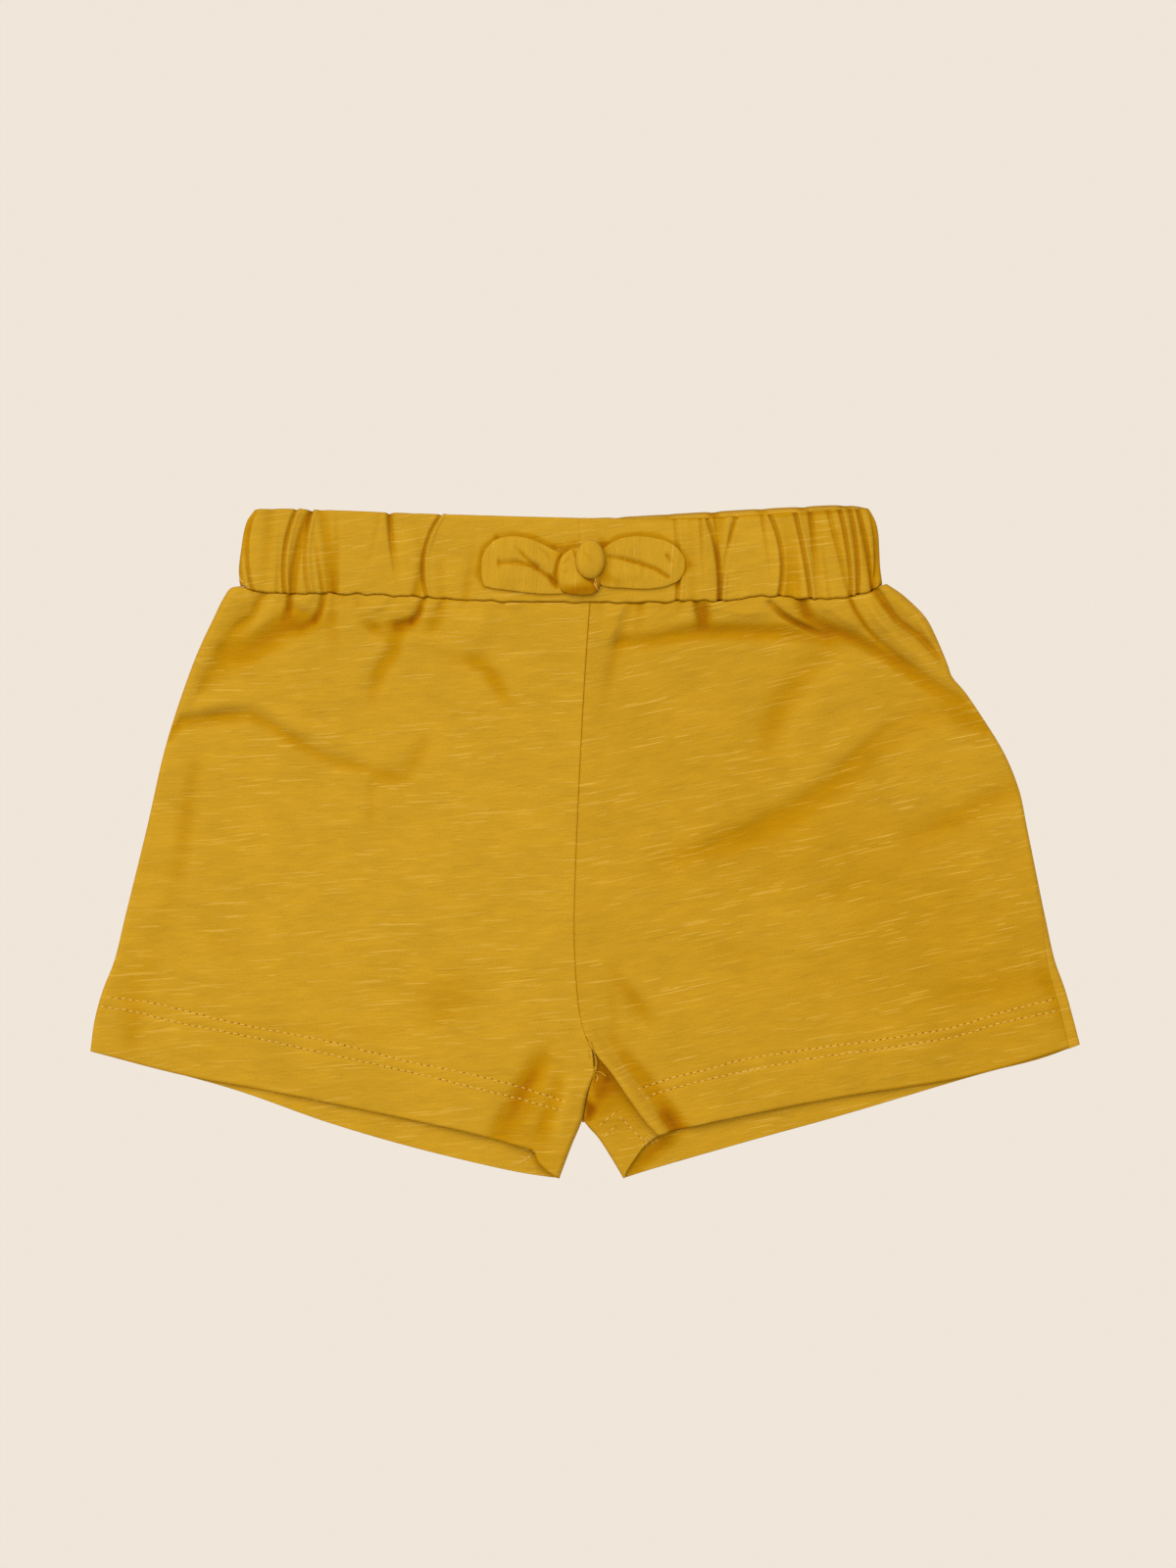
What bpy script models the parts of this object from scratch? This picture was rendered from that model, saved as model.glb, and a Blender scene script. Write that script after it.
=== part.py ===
"""Baby shorts in slub jersey, laid flat on a surface with the front up.

+X runs to the right and +Y towards the waistband as the garment is seen from above, +Z up. The
origin is on the surface, under the middle of the garment. The tables are in millimetres. Left and
right are as seen from above, with the waistband away from the viewer.

Each leg is two panels. A panel's plan is a patch between four curves: the waist seam, the hem, the
side outline and the inner line (the centre seam down to the crotch, then the inner leg). Its wall
lies on that plan at a height made of a broad form and a table of folds, and turns over in a round
fold at the side and at the inner leg.
"""

from collections import namedtuple

import bmesh
import bpy
import numpy as np

MM = 0.001

# Cloth
CLOTH = 1.1  # wall of a jersey panel
CASING = 2.8  # wall of the waistband: two layers of jersey over a 25 mm elastic
SEAM_GAP = 0.3
CENTRE_GAP = 0.4  # at the curved centre seams
FOLD_GAP = 0.22  # a panel's edge over, or under, the middle of a round fold that holds a seam

# Heights over the surface
BAND_TOP = 7.0  # outer face of the band's front half
SEAM_DIP = 0.9  # how far a panel sinks towards a sewn edge
SEAM_DIP_WIDTH = 1.8
BACK_SEAM_LIFT = 0.35  # how far the centre back seam rises off the surface
LEAST_HEIGHT = 2.7  # lowest outer face of a front panel, clear of the back panel
INNER_FOLD_HEIGHT = 1.9  # middle of the round fold at the left inner leg
STRIP_TOP = 2.8  # outer face of the back panel where it comes round the right inner leg
STRIP_TUCK = 1.6  # how far that strip goes in under the front panel
TUCK_DIRECTION = (0.8, 0.6)
TUCK_SHARE = 0.33  # share of the strip's length in which it goes in
STRIP_TURN_SHARE = 0.3  # largest share of its width that the round fold takes
STRIP_TIP = (0.4, -0.9)  # its upper tip, from the upper end of the front panel's ridge
INNER_TURN = 2.7  # how far in the front panel starts to turn under at the left inner leg
FLOOR_ROUNDING = 0.5  # over LEAST_HEIGHT, where the floor of a deep valley rounds off

# The band's section
BAND_CROWN = 0.35  # how far its faces fall towards the top edge and the seam
BAND_LEAST_WALL = 1.2  # what a gather leaves of its wall
BAND_INNER_EVEN = 2.0  # depth at which the gathers no longer show
BAND_END_FADE = 25.0  # one over the share of a half in which the gathers fade out towards its ends

# Share of a panel's rows above the crotch, and of the left front hem up to where its rim turns
CROTCH = 0.8
RIM = 0.93
FRONT_TURN = 0.05  # share of the rows over which the inner fold forms below the crotch
BACK_TURN = 0.02

# Share of a fold's path in which it grows, and where it starts to decline
FOLD_GROWTH = 0.35
FOLD_DECLINE = 0.5

# Colours, linear
MUSTARD = (0.57, 0.31, 0.022, 1.0)
MUSTARD_BOW = (0.55, 0.30, 0.024, 1.0)

# Plan curves: rows of x, y
WAIST_FRONT = (
    (-101.6, 75.6),
    (-97.3, 74.0),
    (-89.8, 73.2),
    (-75.8, 73.1),
    (-52.6, 72.3),
    (-26.5, 70.9),
    (1.6, 70.5),
    (18.4, 70.6),
    (32.3, 71.1),
    (41.6, 70.9),
    (51.8, 72.3),
    (70.6, 71.5),
    (78.4, 72.3),
    (85.4, 74.2),
    (87.3, 75.6),
)
WAIST_BACK = (
    (-101.6, 75.6),
    (-96.0, 74.4),
    (-60.0, 73.4),
    (1.6, 72.6),
    (50.0, 73.6),
    (82.0, 74.6),
    (87.3, 75.6),
)
SIDE_LEFT = (
    (-101.6, 75.6),
    (-106.0, 73.2),
    (-110.1, 64.8),
    (-116.2, 51.5),
    (-123.7, 29.0),
    (-129.5, 3.9),
    (-135.9, -22.2),
    (-139.1, -35.2),
    (-142.5, -43.9),
    (-144.9, -52.6),
    (-146.2, -61.9),
)
SIDE_RIGHT = (
    (87.3, 75.6),
    (91.8, 75.2),
    (97.3, 71.2),
    (101.1, 66.3),
    (107.7, 51.8),
    (112.1, 44.8),
    (124.0, 25.7),
    (128.6, 15.0),
    (130.9, 3.9),
    (136.2, -22.2),
    (139.1, -35.2),
    (142.2, -43.9),
    (144.6, -52.6),
    (146.5, -59.9),
)
CENTRE_FRONT = ((1.6, 70.5), (-0.1, 46.0), (-2.8, -11.5), (-3.0, -30.6), (-1.6, -49.7), (0.1, -57.0))
CENTRE_TO_CROTCH = ((0.1, -57.0), (1.9, -60.8), (2.8, -67.7))
CENTRE_BACK = ((1.6, 72.6), (0.2, 30.0), (-0.6, -20.0), (1.0, -50.0), (2.8, -67.7))
INNER_LEG_LEFT = ((2.8, -67.7), (1.3, -72.9), (0.4, -75.8), (-0.7, -81.9), (-3.9, -89.8), (-7.5, -99.4))
INNER_LEG_RIGHT = (
    (2.8, -67.7),
    (1.9, -72.9),
    (1.1, -75.8),
    (0.9, -81.9),
    (3.9, -87.4),
    (7.4, -92.7),
    (11.5, -99.6),
)
RIDGE_RIGHT = ((0.1, -57.0), (3.3, -62.5), (8.0, -68.3), (13.5, -76.4), (18.7, -83.4), (21.9, -86.6))
STRIP_RIM = ((11.5, -99.6), (12.3, -97.6), (14.1, -94.7), (18.1, -89.5), (23.1, -85.9))
HEM_FRONT_LEFT = (
    (-146.2, -61.9),
    (-118.2, -69.1),
    (-95.6, -73.2),
    (-51.2, -82.2),
    (-32.6, -86.3),
    (-14.9, -91.2),
)
RIM_FRONT_LEFT = ((-14.9, -91.2), (-13.8, -94.4), (-10.6, -97.6), (-7.5, -99.4))
HEM_FRONT_RIGHT = (
    (146.5, -59.9),
    (143.1, -60.9),
    (115.0, -69.0),
    (75.5, -75.5),
    (47.4, -80.8),
    (27.7, -85.1),
    (21.9, -86.6),
)
HEM_BACK_LEFT = (
    (-146.2, -61.9),
    (-118.2, -69.2),
    (-102.2, -73.8),
    (-75.8, -83.1),
    (-51.2, -90.3),
    (-20.4, -97.6),
    (-7.5, -99.6),
)
HEM_BACK_RIGHT = (
    (146.5, -59.9),
    (134.7, -64.2),
    (117.6, -68.6),
    (75.5, -81.1),
    (47.4, -88.9),
    (15.5, -98.2),
    (11.5, -99.6),
)
BAND_END_LEFT = ((-101.9, 75.6), (-101.6, 81.0), (-101.1, 87.4), (-99.9, 94.4), (-97.4, 98.2))
BAND_END_RIGHT = ((87.7, 75.6), (87.0, 81.0), (86.9, 87.0), (86.6, 93.0), (84.6, 98.4))
BAND_TOP_FRONT = ((-97.4, 98.2), (-86.0, 98.2), (-45.4, 96.7), (18.4, 95.3), (44.5, 96.1), (84.6, 98.4))
BAND_TOP_BACK = ((-97.4, 98.2), (-45.0, 96.0), (1.0, 95.8), (31.8, 97.0), (60.0, 98.8), (84.6, 98.4))

# Outer face of a front panel: down is the share of the way from waist to hem
Height = namedtuple("Height", "down side middle centre")
FRONT_HEIGHTS = (
    Height(0.00, 5.6, 5.7, 5.4),
    Height(0.04, 5.9, 6.0, 5.5),
    Height(0.14, 4.6, 4.8, 4.3),
    Height(0.35, 3.5, 3.9, 3.5),
    Height(0.75, 3.2, 3.8, 3.4),
    Height(1.00, 3.1, 3.8, 4.6),
)

# Middle of the round fold at the side, and how far in from the outline the side seam lies
SideFold = namedtuple("SideFold", "down height seam_left seam_right")
SIDE_FOLDS = (
    SideFold(0.00, 2.8, 0.0, 0.0),
    SideFold(0.15, 2.2, 0.0, 0.0),
    SideFold(0.35, 1.7, 0.0, 0.0),
    SideFold(0.66, 1.6, 0.0, 0.0),
    SideFold(0.88, 1.6, 0.0, 3.1),
    SideFold(1.00, 1.6, 0.0, 3.5),
)

# Folds of the front panels. path: x, y points. width: how far it reaches to each side. height: over
# the broad form, negative for a valley. head: share of the height that it has at its first point.
Fold = namedtuple("Fold", "path width height head")
FRONT_FOLDS = (
    # gathers just under the waist seam
    Fold(((-94.6, 73.0), (-98.5, 66.5), (-103.5, 61.5), (-107.0, 53.0), (-110.5, 45.0)), 2.4, -1.7, 0.8),
    Fold(((-91.0, 72.6), (-92.5, 66.0), (-96.5, 59.5)), 2.4, 1.0, 0.8),
    Fold(((-86.6, 72.6), (-88.0, 66.0), (-94.0, 60.0), (-100.0, 55.5)), 2.6, -2.1, 0.9),
    Fold(((-77.0, 72.6), (-78.6, 66.0), (-84.0, 62.6)), 1.9, -1.8, 0.9),
    Fold(((-81.8, 72.6), (-82.6, 67.5)), 1.9, 0.8, 0.9),
    Fold(((-62.0, 72.0), (-61.0, 65.0), (-63.0, 58.0)), 4.0, 0.7, 0.8),
    Fold(((-47.4, 71.6), (-49.4, 66.4), (-57.0, 64.6)), 1.9, -1.8, 0.9),
    Fold(((-53.8, 61.4), (-55.0, 55.6), (-62.0, 48.0)), 2.8, -1.1, 0.2),
    Fold(((-41.2, 70.8), (-43.6, 64.6), (-47.6, 59.0)), 2.6, -1.0, 0.7),
    Fold(((-30.0, 70.4), (-31.0, 62.0), (-36.0, 55.0)), 4.0, 0.7, 0.8),
    Fold(((9.5, 70.0), (9.0, 62.0), (4.5, 54.0)), 2.4, 0.8, 0.9),
    Fold(((13.5, 60.4), (25.0, 60.8), (35.6, 64.6), (46.0, 63.6), (60.0, 63.4)), 2.9, -1.8, 0.3),
    Fold(((34.0, 70.6), (35.2, 65.8)), 2.2, -1.4, 0.9),
    Fold(((44.0, 69.4), (51.0, 67.4)), 3.0, 1.0, 0.6),
    Fold(((53.8, 71.4), (57.4, 67.0), (62.7, 64.3), (73.0, 59.4)), 1.8, -2.0, 0.7),
    Fold(((64.6, 71.0), (65.4, 67.0), (75.0, 63.9), (85.0, 59.0), (104.4, 47.4)), 2.8, -2.0, 0.8),
    # folds over the right hip
    Fold(((81.2, 72.2), (86.0, 64.6), (93.0, 58.0), (101.0, 52.4), (108.0, 49.0)), 2.4, 1.8, 0.7),
    Fold(((86.2, 73.6), (92.0, 65.8), (98.0, 60.4), (103.4, 55.4), (107.4, 50.6)), 1.5, -2.2, 0.8),
    Fold(((89.4, 74.0), (95.0, 68.4), (100.4, 62.4), (105.0, 55.0)), 2.0, 1.3, 0.8),
    # broad folds of the left leg
    Fold(((-123.0, 34.4), (-112.0, 36.9), (-99.0, 38.6), (-89.0, 32.2), (-76.0, 25.5)), 2.4, -1.4, 0.6),
    Fold(((-84.0, 28.4), (-69.5, 23.3), (-55.7, 19.6), (-50.2, 26.0), (-47.5, 31.0)), 4.5, -1.3, 0.4),
    Fold(((-108.0, 43.5), (-96.0, 44.5), (-84.0, 38.0), (-72.0, 31.0)), 4.5, 1.3, 0.3),
    Fold(((-97.2, 47.3), (-89.0, 40.4), (-77.7, 36.9), (-70.0, 34.0)), 2.4, -0.7, 0.2),
    Fold(((-42.5, 54.8), (-33.8, 54.2), (-26.0, 46.0), (-19.0, 36.7)), 4.5, -0.8, 0.3),
    Fold(((-116.1, 21.3), (-119.0, 6.0), (-121.1, -9.4)), 5.0, -0.7, 0.3),
    Fold(((-60.0, 0.0), (-50.0, -22.0), (-47.0, -42.0)), 12.0, 0.7, 0.2),
    # broad folds of the right leg
    Fold(((70.0, 55.5), (63.6, 48.3), (56.4, 41.3), (53.0, 28.0)), 4.2, -1.1, 0.3),
    Fold(((84.0, 57.0), (71.5, 45.7), (64.5, 35.9), (60.0, 22.0)), 6.0, 1.3, 0.3),
    Fold(((23.6, -4.9), (36.9, -1.3), (50.3, 4.8), (60.9, 11.9), (70.6, 18.2)), 4.2, -1.3, 0.3),
    Fold(((66.0, 15.4), (79.5, 25.3), (88.4, 33.2), (100.0, 39.4), (107.0, 40.0)), 4.0, -1.4, 0.5),
    Fold(((78.0, 14.0), (92.0, 22.0), (106.0, 28.0)), 5.5, 0.8, 0.3),
    Fold(((95.5, -4.0), (109.7, 4.8), (115.9, 11.0), (126.0, 14.6)), 4.0, -1.1, 0.3),
    Fold(((40.0, -30.0), (62.0, -24.0), (86.0, -14.0)), 10.0, 0.7, 0.2),
    # round the crotch and the inner legs
    Fold(((9.7, -38.4), (16.0, -47.0), (23.3, -57.6)), 4.0, -0.8, 0.3),
    Fold(((0.6, -57.5), (5.0, -63.5), (11.5, -71.5), (17.5, -80.0), (22.5, -86.0)), 2.6, 2.4, 0.3),
    Fold(((17.0, -66.0), (23.0, -75.0), (28.0, -84.0)), 3.0, -1.0, 0.2),
    Fold(((-11.2, -64.2), (-19.3, -74.4), (-24.5, -85.1)), 3.0, -1.3, 0.2),
    Fold(((-5.0, -70.0), (-8.0, -80.0), (-13.0, -90.0)), 3.6, 1.3, 0.4),
)

# Gathers on the underside of the back panels, at the back waist seam
Gather = namedtuple("Gather", "x lean reach width height")
BACK_GATHERS = (
    Gather(-92.0, -5.0, 16.0, 2.4, 1.0),
    Gather(-80.5, -3.0, 9.0, 1.9, 0.8),
    Gather(-66.0, -2.5, 14.0, 2.4, 0.9),
    Gather(-51.0, 1.0, 8.0, 1.9, 0.7),
    Gather(-38.5, -1.5, 13.0, 2.3, 1.0),
    Gather(-21.0, 1.0, 9.0, 2.0, 0.8),
    Gather(14.0, 1.5, 11.0, 2.2, 0.8),
    Gather(27.0, -0.5, 15.0, 2.4, 1.0),
    Gather(42.5, 2.0, 8.0, 1.9, 0.7),
    Gather(55.0, 2.5, 13.0, 2.3, 0.9),
    Gather(69.5, 3.5, 9.0, 2.0, 0.8),
    Gather(79.5, 6.0, 15.0, 2.3, 1.0),
)

# Gathers of the waistband, by x at its top edge and at its seam
BandFold = namedtuple("BandFold", "top seam width depth from_top to_seam")
BAND_FRONT_FOLDS = (
    BandFold(-97.0, -98.6, 1.6, 1.3, 1.0, 1.0),
    BandFold(-85.1, -89.3, 1.6, 1.6, 1.0, 1.0),
    BandFold(-82.0, -84.4, 1.7, 1.4, 0.6, 1.0),
    BandFold(-77.0, -73.6, 2.3, 0.8, 0.8, 1.0),
    BandFold(-57.6, -54.5, 1.8, 1.2, 1.0, 0.2),
    BandFold(-50.0, -50.6, 2.2, 0.7, 0.3, 1.0),
    BandFold(-42.5, -46.0, 1.6, 1.7, 1.0, 1.0),
    BandFold(27.6, 28.0, 1.9, 1.0, 0.6, 1.0),
    BandFold(39.2, 39.9, 2.9, 2.1, 1.0, 0.8),
    BandFold(53.2, 57.0, 1.6, 1.4, 1.0, 1.0),
    BandFold(59.0, 60.6, 2.0, 1.0, 0.2, 1.0),
    BandFold(62.4, 66.6, 1.6, 1.6, 1.0, 1.0),
    BandFold(70.4, 77.0, 1.5, 1.6, 1.0, 1.0),
    BandFold(75.6, 79.6, 1.5, 1.2, 1.0, 0.7),
    BandFold(80.2, 84.6, 1.5, 1.3, 1.0, 1.0),
)
BAND_BACK_FOLDS = (
    BandFold(-93.0, -95.0, 1.7, 1.3, 1.0, 1.0),
    BandFold(-80.0, -81.0, 1.7, 1.6, 1.0, 1.0),
    BandFold(-69.5, -66.5, 1.8, 1.0, 0.5, 1.0),
    BandFold(-58.0, -58.6, 1.6, 1.6, 1.0, 1.0),
    BandFold(-43.0, -39.5, 1.8, 1.3, 1.0, 1.0),
    BandFold(-27.0, -29.0, 1.8, 1.0, 1.0, 0.4),
    BandFold(-13.5, -12.0, 1.7, 1.4, 1.0, 1.0),
    BandFold(9.5, 12.0, 1.7, 1.4, 1.0, 1.0),
    BandFold(24.0, 25.5, 1.8, 1.2, 0.5, 1.0),
    BandFold(38.0, 40.5, 1.6, 1.6, 1.0, 1.0),
    BandFold(52.5, 54.0, 1.8, 1.0, 1.0, 0.5),
    BandFold(64.5, 68.0, 1.7, 1.4, 1.0, 1.0),
    BandFold(77.0, 80.0, 1.6, 1.3, 1.0, 1.0),
)

# Bow: sections across each piece, from left to right
BowSection = namedtuple("BowSection", "x low high thick")
LOOP_LEFT = (
    BowSection(-30.2, 79.0, 84.0, 1.6),
    BowSection(-29.5, 76.2, 86.2, 2.6),
    BowSection(-27.8, 74.6, 88.4, 3.4),
    BowSection(-24.4, 73.9, 89.9, 3.8),
    BowSection(-20.0, 73.4, 90.0, 3.9),
    BowSection(-14.5, 73.0, 88.5, 3.8),
    BowSection(-9.6, 72.8, 86.2, 3.6),
    BowSection(-6.2, 73.4, 85.2, 3.0),
    BowSection(-3.4, 76.0, 84.0, 2.2),
)
LOOP_RIGHT = (
    BowSection(3.0, 77.0, 84.6, 2.2),
    BowSection(5.4, 75.6, 86.6, 3.0),
    BowSection(9.6, 74.6, 88.6, 3.6),
    BowSection(14.5, 74.0, 89.9, 3.9),
    BowSection(19.0, 74.0, 89.8, 3.9),
    BowSection(24.0, 74.9, 88.4, 3.7),
    BowSection(27.2, 76.5, 86.4, 3.2),
    BowSection(28.8, 78.4, 84.4, 2.5),
    BowSection(29.4, 80.2, 82.8, 1.6),
)
WRAP = (
    BowSection(-7.4, 76.8, 80.6, 2.0),
    BowSection(-6.6, 74.8, 83.0, 3.0),
    BowSection(-4.8, 73.0, 84.4, 3.8),
    BowSection(-1.4, 72.4, 85.2, 4.4),
    BowSection(2.0, 72.6, 84.0, 4.2),
    BowSection(4.0, 73.8, 81.0, 3.4),
    BowSection(5.0, 75.4, 78.6, 2.2),
)
KNOT_CENTRE = (1.2, 82.6, 10.5)
KNOT_RADII = (4.6, 5.7, 3.1)
BOW_REST = BAND_TOP + SEAM_GAP  # underside of the bow
BOW_DISH = 0.7  # depth of the dish along a loop's middle
BOW_SIDES = 12
BOW_RINGS = 15
BOW_FLATNESS = 0.7  # power of a ring's rise: 1 is an ellipse, less is flatter

# Grid counts
SIDE_COLUMNS = 5
INNER_COLUMNS = 5
EDGE_CROWDING = 1.7  # how much closer the columns lie at a sewn edge
BACK_CROWDING = 1.4
ROW_CROWDING = 0.45  # how much closer the rows lie at the waist and the crotch
FRONT_COLUMNS = 36
SIDEWARD = 1.35  # how much closer they lie towards the side
FRONT_WAIST_ROWS = (0.0, 0.005, 0.013, 0.025, 0.04, 0.06)  # shares of the way down
FRONT_ROWS = (15, 7)  # from there to the crotch, and below it
BACK_COLUMNS = 13
BACK_WAIST_ROWS = (0.0, 0.02, 0.05)
BACK_ROWS = (11, 6)
STRIP_TURN_COLUMNS = 4
STRIP_FLAT_COLUMNS = 4
BAND_STATIONS = 98  # along each half, between its end folds
BAND_END_STATIONS = 6
BAND_OUTER = (0.04, 0.27, 0.5, 0.73, 0.96)  # share of the band's height, at the outer face
BAND_INNER = (0.95, 0.5, 0.05)
CURVE_STEPS = 12
ROW_SAMPLES = 121


def smoothstep(t):
    t = np.clip(t, 0.0, 1.0)
    return t * t * (3.0 - 2.0 * t)


def curve(points):
    """A smooth curve through the points, as a function of the share of its length."""
    p = np.array(points, float)
    p = np.vstack([2.0 * p[0] - p[1], p, 2.0 * p[-1] - p[-2]])
    knots = np.concatenate([[0.0], np.cumsum(np.sqrt(np.linalg.norm(np.diff(p, axis=0), axis=1)))])
    line = []
    for k in range(1, len(p) - 2):
        t0, t1, t2, t3 = knots[k - 1 : k + 3]
        t = np.linspace(t1, t2, CURVE_STEPS, endpoint=False)[:, None]
        a = ((t1 - t) * p[k - 1] + (t - t0) * p[k]) / (t1 - t0)
        b = ((t2 - t) * p[k] + (t - t1) * p[k + 1]) / (t2 - t1)
        c = ((t3 - t) * p[k + 1] + (t - t2) * p[k + 2]) / (t3 - t2)
        ab = ((t2 - t) * a + (t - t0) * b) / (t2 - t0)
        bc = ((t3 - t) * b + (t - t1) * c) / (t3 - t1)
        line.append(((t2 - t) * ab + (t - t1) * bc) / (t2 - t1))
    line = np.vstack(line + [p[-2]])
    along = np.concatenate([[0.0], np.cumsum(np.linalg.norm(np.diff(line, axis=0), axis=1))])
    along /= along[-1]
    return lambda t: np.stack([np.interp(t, along, line[:, i]) for i in range(2)], axis=-1)


def joined(first, second, corner):
    """Two curves end to end. The first takes the share up to the corner."""

    def point(t):
        t = np.asarray(t, float)
        before = first(np.clip(t / corner, 0.0, 1.0))
        after = second(np.clip((t - corner) / (1.0 - corner), 0.0, 1.0))
        return np.where((t < corner)[..., None], before, after)

    return point


def moved(line, x, y=0.0):
    return lambda t: line(t) + np.array([x, y])


def part_of(line, start, end):
    return lambda t: line(start + np.asarray(t, float) * (end - start))


def between(table, column, down):
    """Smooth interpolation of a table's column by its first column."""
    knots = np.array([row[0] for row in table])
    values = np.array([getattr(row, column) for row in table])
    slopes = np.gradient(values, knots)
    down = np.clip(np.asarray(down, float), knots[0], knots[-1])
    k = np.clip(np.searchsorted(knots, down, side="right") - 1, 0, len(knots) - 2)
    step = knots[k + 1] - knots[k]
    t = (down - knots[k]) / step
    start = values[k] * (1.0 + 2.0 * t) * (1.0 - t) ** 2 + slopes[k] * step * t * (1.0 - t) ** 2
    end = values[k + 1] * t * t * (3.0 - 2.0 * t) + slopes[k + 1] * step * t * t * (t - 1.0)
    return start + end


class Patch:
    """A panel's plan between four curves. across runs from the side (0) to the inner line (1)."""

    def __init__(self, waist, hem, side, inner):
        self.waist, self.hem, self.side, self.inner = waist, hem, side, inner

    def point(self, across, down):
        a, d = np.asarray(across, float)[..., None], np.asarray(down, float)[..., None]
        corners = (1 - a) * (1 - d) * self.side(0.0) + a * (1 - d) * self.inner(0.0)
        corners = corners + (1 - a) * d * self.side(1.0) + a * d * self.inner(1.0)
        rows = (1 - d) * self.waist(across) + d * self.hem(across)
        columns = (1 - a) * self.side(down) + a * self.inner(down)
        return rows + columns - corners

    def row(self, down):
        """Shares across the panel on one row, and their distances from the side."""
        across = np.linspace(0.0, 1.0, ROW_SAMPLES)
        points = self.point(across, np.full(ROW_SAMPLES, down))
        steps = np.linalg.norm(np.diff(points, axis=0), axis=1)
        return across, np.concatenate([[0.0], np.cumsum(steps)])


def fold_sum(folds, x, y):
    total = np.zeros(np.shape(x))
    for fold in folds:
        path = np.array(fold.path)
        steps = np.linalg.norm(np.diff(path, axis=0), axis=1)
        starts = np.concatenate([[0.0], np.cumsum(steps)])
        nearest = np.full(np.shape(x), np.inf)
        along = np.zeros(np.shape(x))
        for k, step in enumerate(steps):
            direction = (path[k + 1] - path[k]) / step
            t = np.clip((x - path[k, 0]) * direction[0] + (y - path[k, 1]) * direction[1], 0.0, step)
            gap = np.hypot(x - path[k, 0] - t * direction[0], y - path[k, 1] - t * direction[1])
            along = np.where(gap < nearest, starts[k] + t, along)
            nearest = np.minimum(gap, nearest)
        t = along / starts[-1]
        grown = fold.head + (1.0 - fold.head) * smoothstep(t / FOLD_GROWTH)
        shrunk = 1.0 - smoothstep((t - FOLD_DECLINE) / (1.0 - FOLD_DECLINE))
        total += fold.height * grown * shrunk * np.exp(-((nearest / fold.width) ** 2))
    return total


def front_height(across, down, x, y):
    """Outer face of a front panel, over the surface."""
    side, middle, centre = (between(FRONT_HEIGHTS, name, down) for name in ("side", "middle", "centre"))
    broad = side * (1 - across) * (1 - 2 * across) + middle * 4 * across * (1 - across)
    broad = broad + centre * across * (2 * across - 1)
    height = broad + fold_sum(FRONT_FOLDS, x, y)
    over = height - LEAST_HEIGHT
    rounded = FLOOR_ROUNDING * np.exp(np.minimum(over, FLOOR_ROUNDING) / FLOOR_ROUNDING - 1.0)
    return LEAST_HEIGHT + np.where(over > FLOOR_ROUNDING, over, rounded)


def under_height(x, y):
    """Outer face of a back panel, the underside. Only its gathers leave the surface."""
    total = np.zeros(np.shape(x))
    seam = np.interp(x, *np.array(WAIST_BACK).T)
    drop = seam - y
    for gather in BACK_GATHERS:
        t = drop / gather.reach
        line = gather.x + gather.lean * t
        total += gather.height * (1.0 - smoothstep(t)) * np.exp(-(((x - line) / gather.width) ** 2))
    return total


def turned(arc, radius):
    """Distance from the outline, and share of the rise, at an arc distance from a round fold's middle."""
    angle = np.clip(np.abs(arc) / radius, 0.0, 1.0) * np.pi / 2
    return np.where(np.abs(arc) < radius, radius * (1.0 - np.cos(angle)), np.abs(arc)), np.sin(angle)


def row_shares(waist_rows, counts):
    """Rows down a panel, closer together at the waist and at the crotch, with one on the crotch."""
    above, below = counts
    t = np.linspace(0.0, 1.0, above)
    t = t - ROW_CROWDING * np.sin(2 * np.pi * t) / (2 * np.pi)
    upper = waist_rows[-1] + (CROTCH - waist_rows[-1]) * t
    return np.concatenate([waist_rows[:-1], upper, np.linspace(CROTCH, 1.0, below)[1:]])


def waist_dip(drop):
    return SEAM_DIP * (1.0 - smoothstep(drop / SEAM_DIP_WIDTH))


def side_edge(down, seam_column, face):
    """Radius of the side fold, arc place of the panel's edge there, and height of the fold's middle.

    face is 1 for the front panel and -1 for the back panel. A seam on the fold's middle parts the two
    in height, and one that has come round to the front parts them along the cloth.
    """
    fold = between(SIDE_FOLDS, "height", down)
    seam = max(0.0, between(SIDE_FOLDS, seam_column, down))
    apart = min(SEAM_GAP / 2, seam)
    return fold, seam + face * apart, fold + face * FOLD_GAP * (1.0 - smoothstep(seam / fold))


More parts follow.
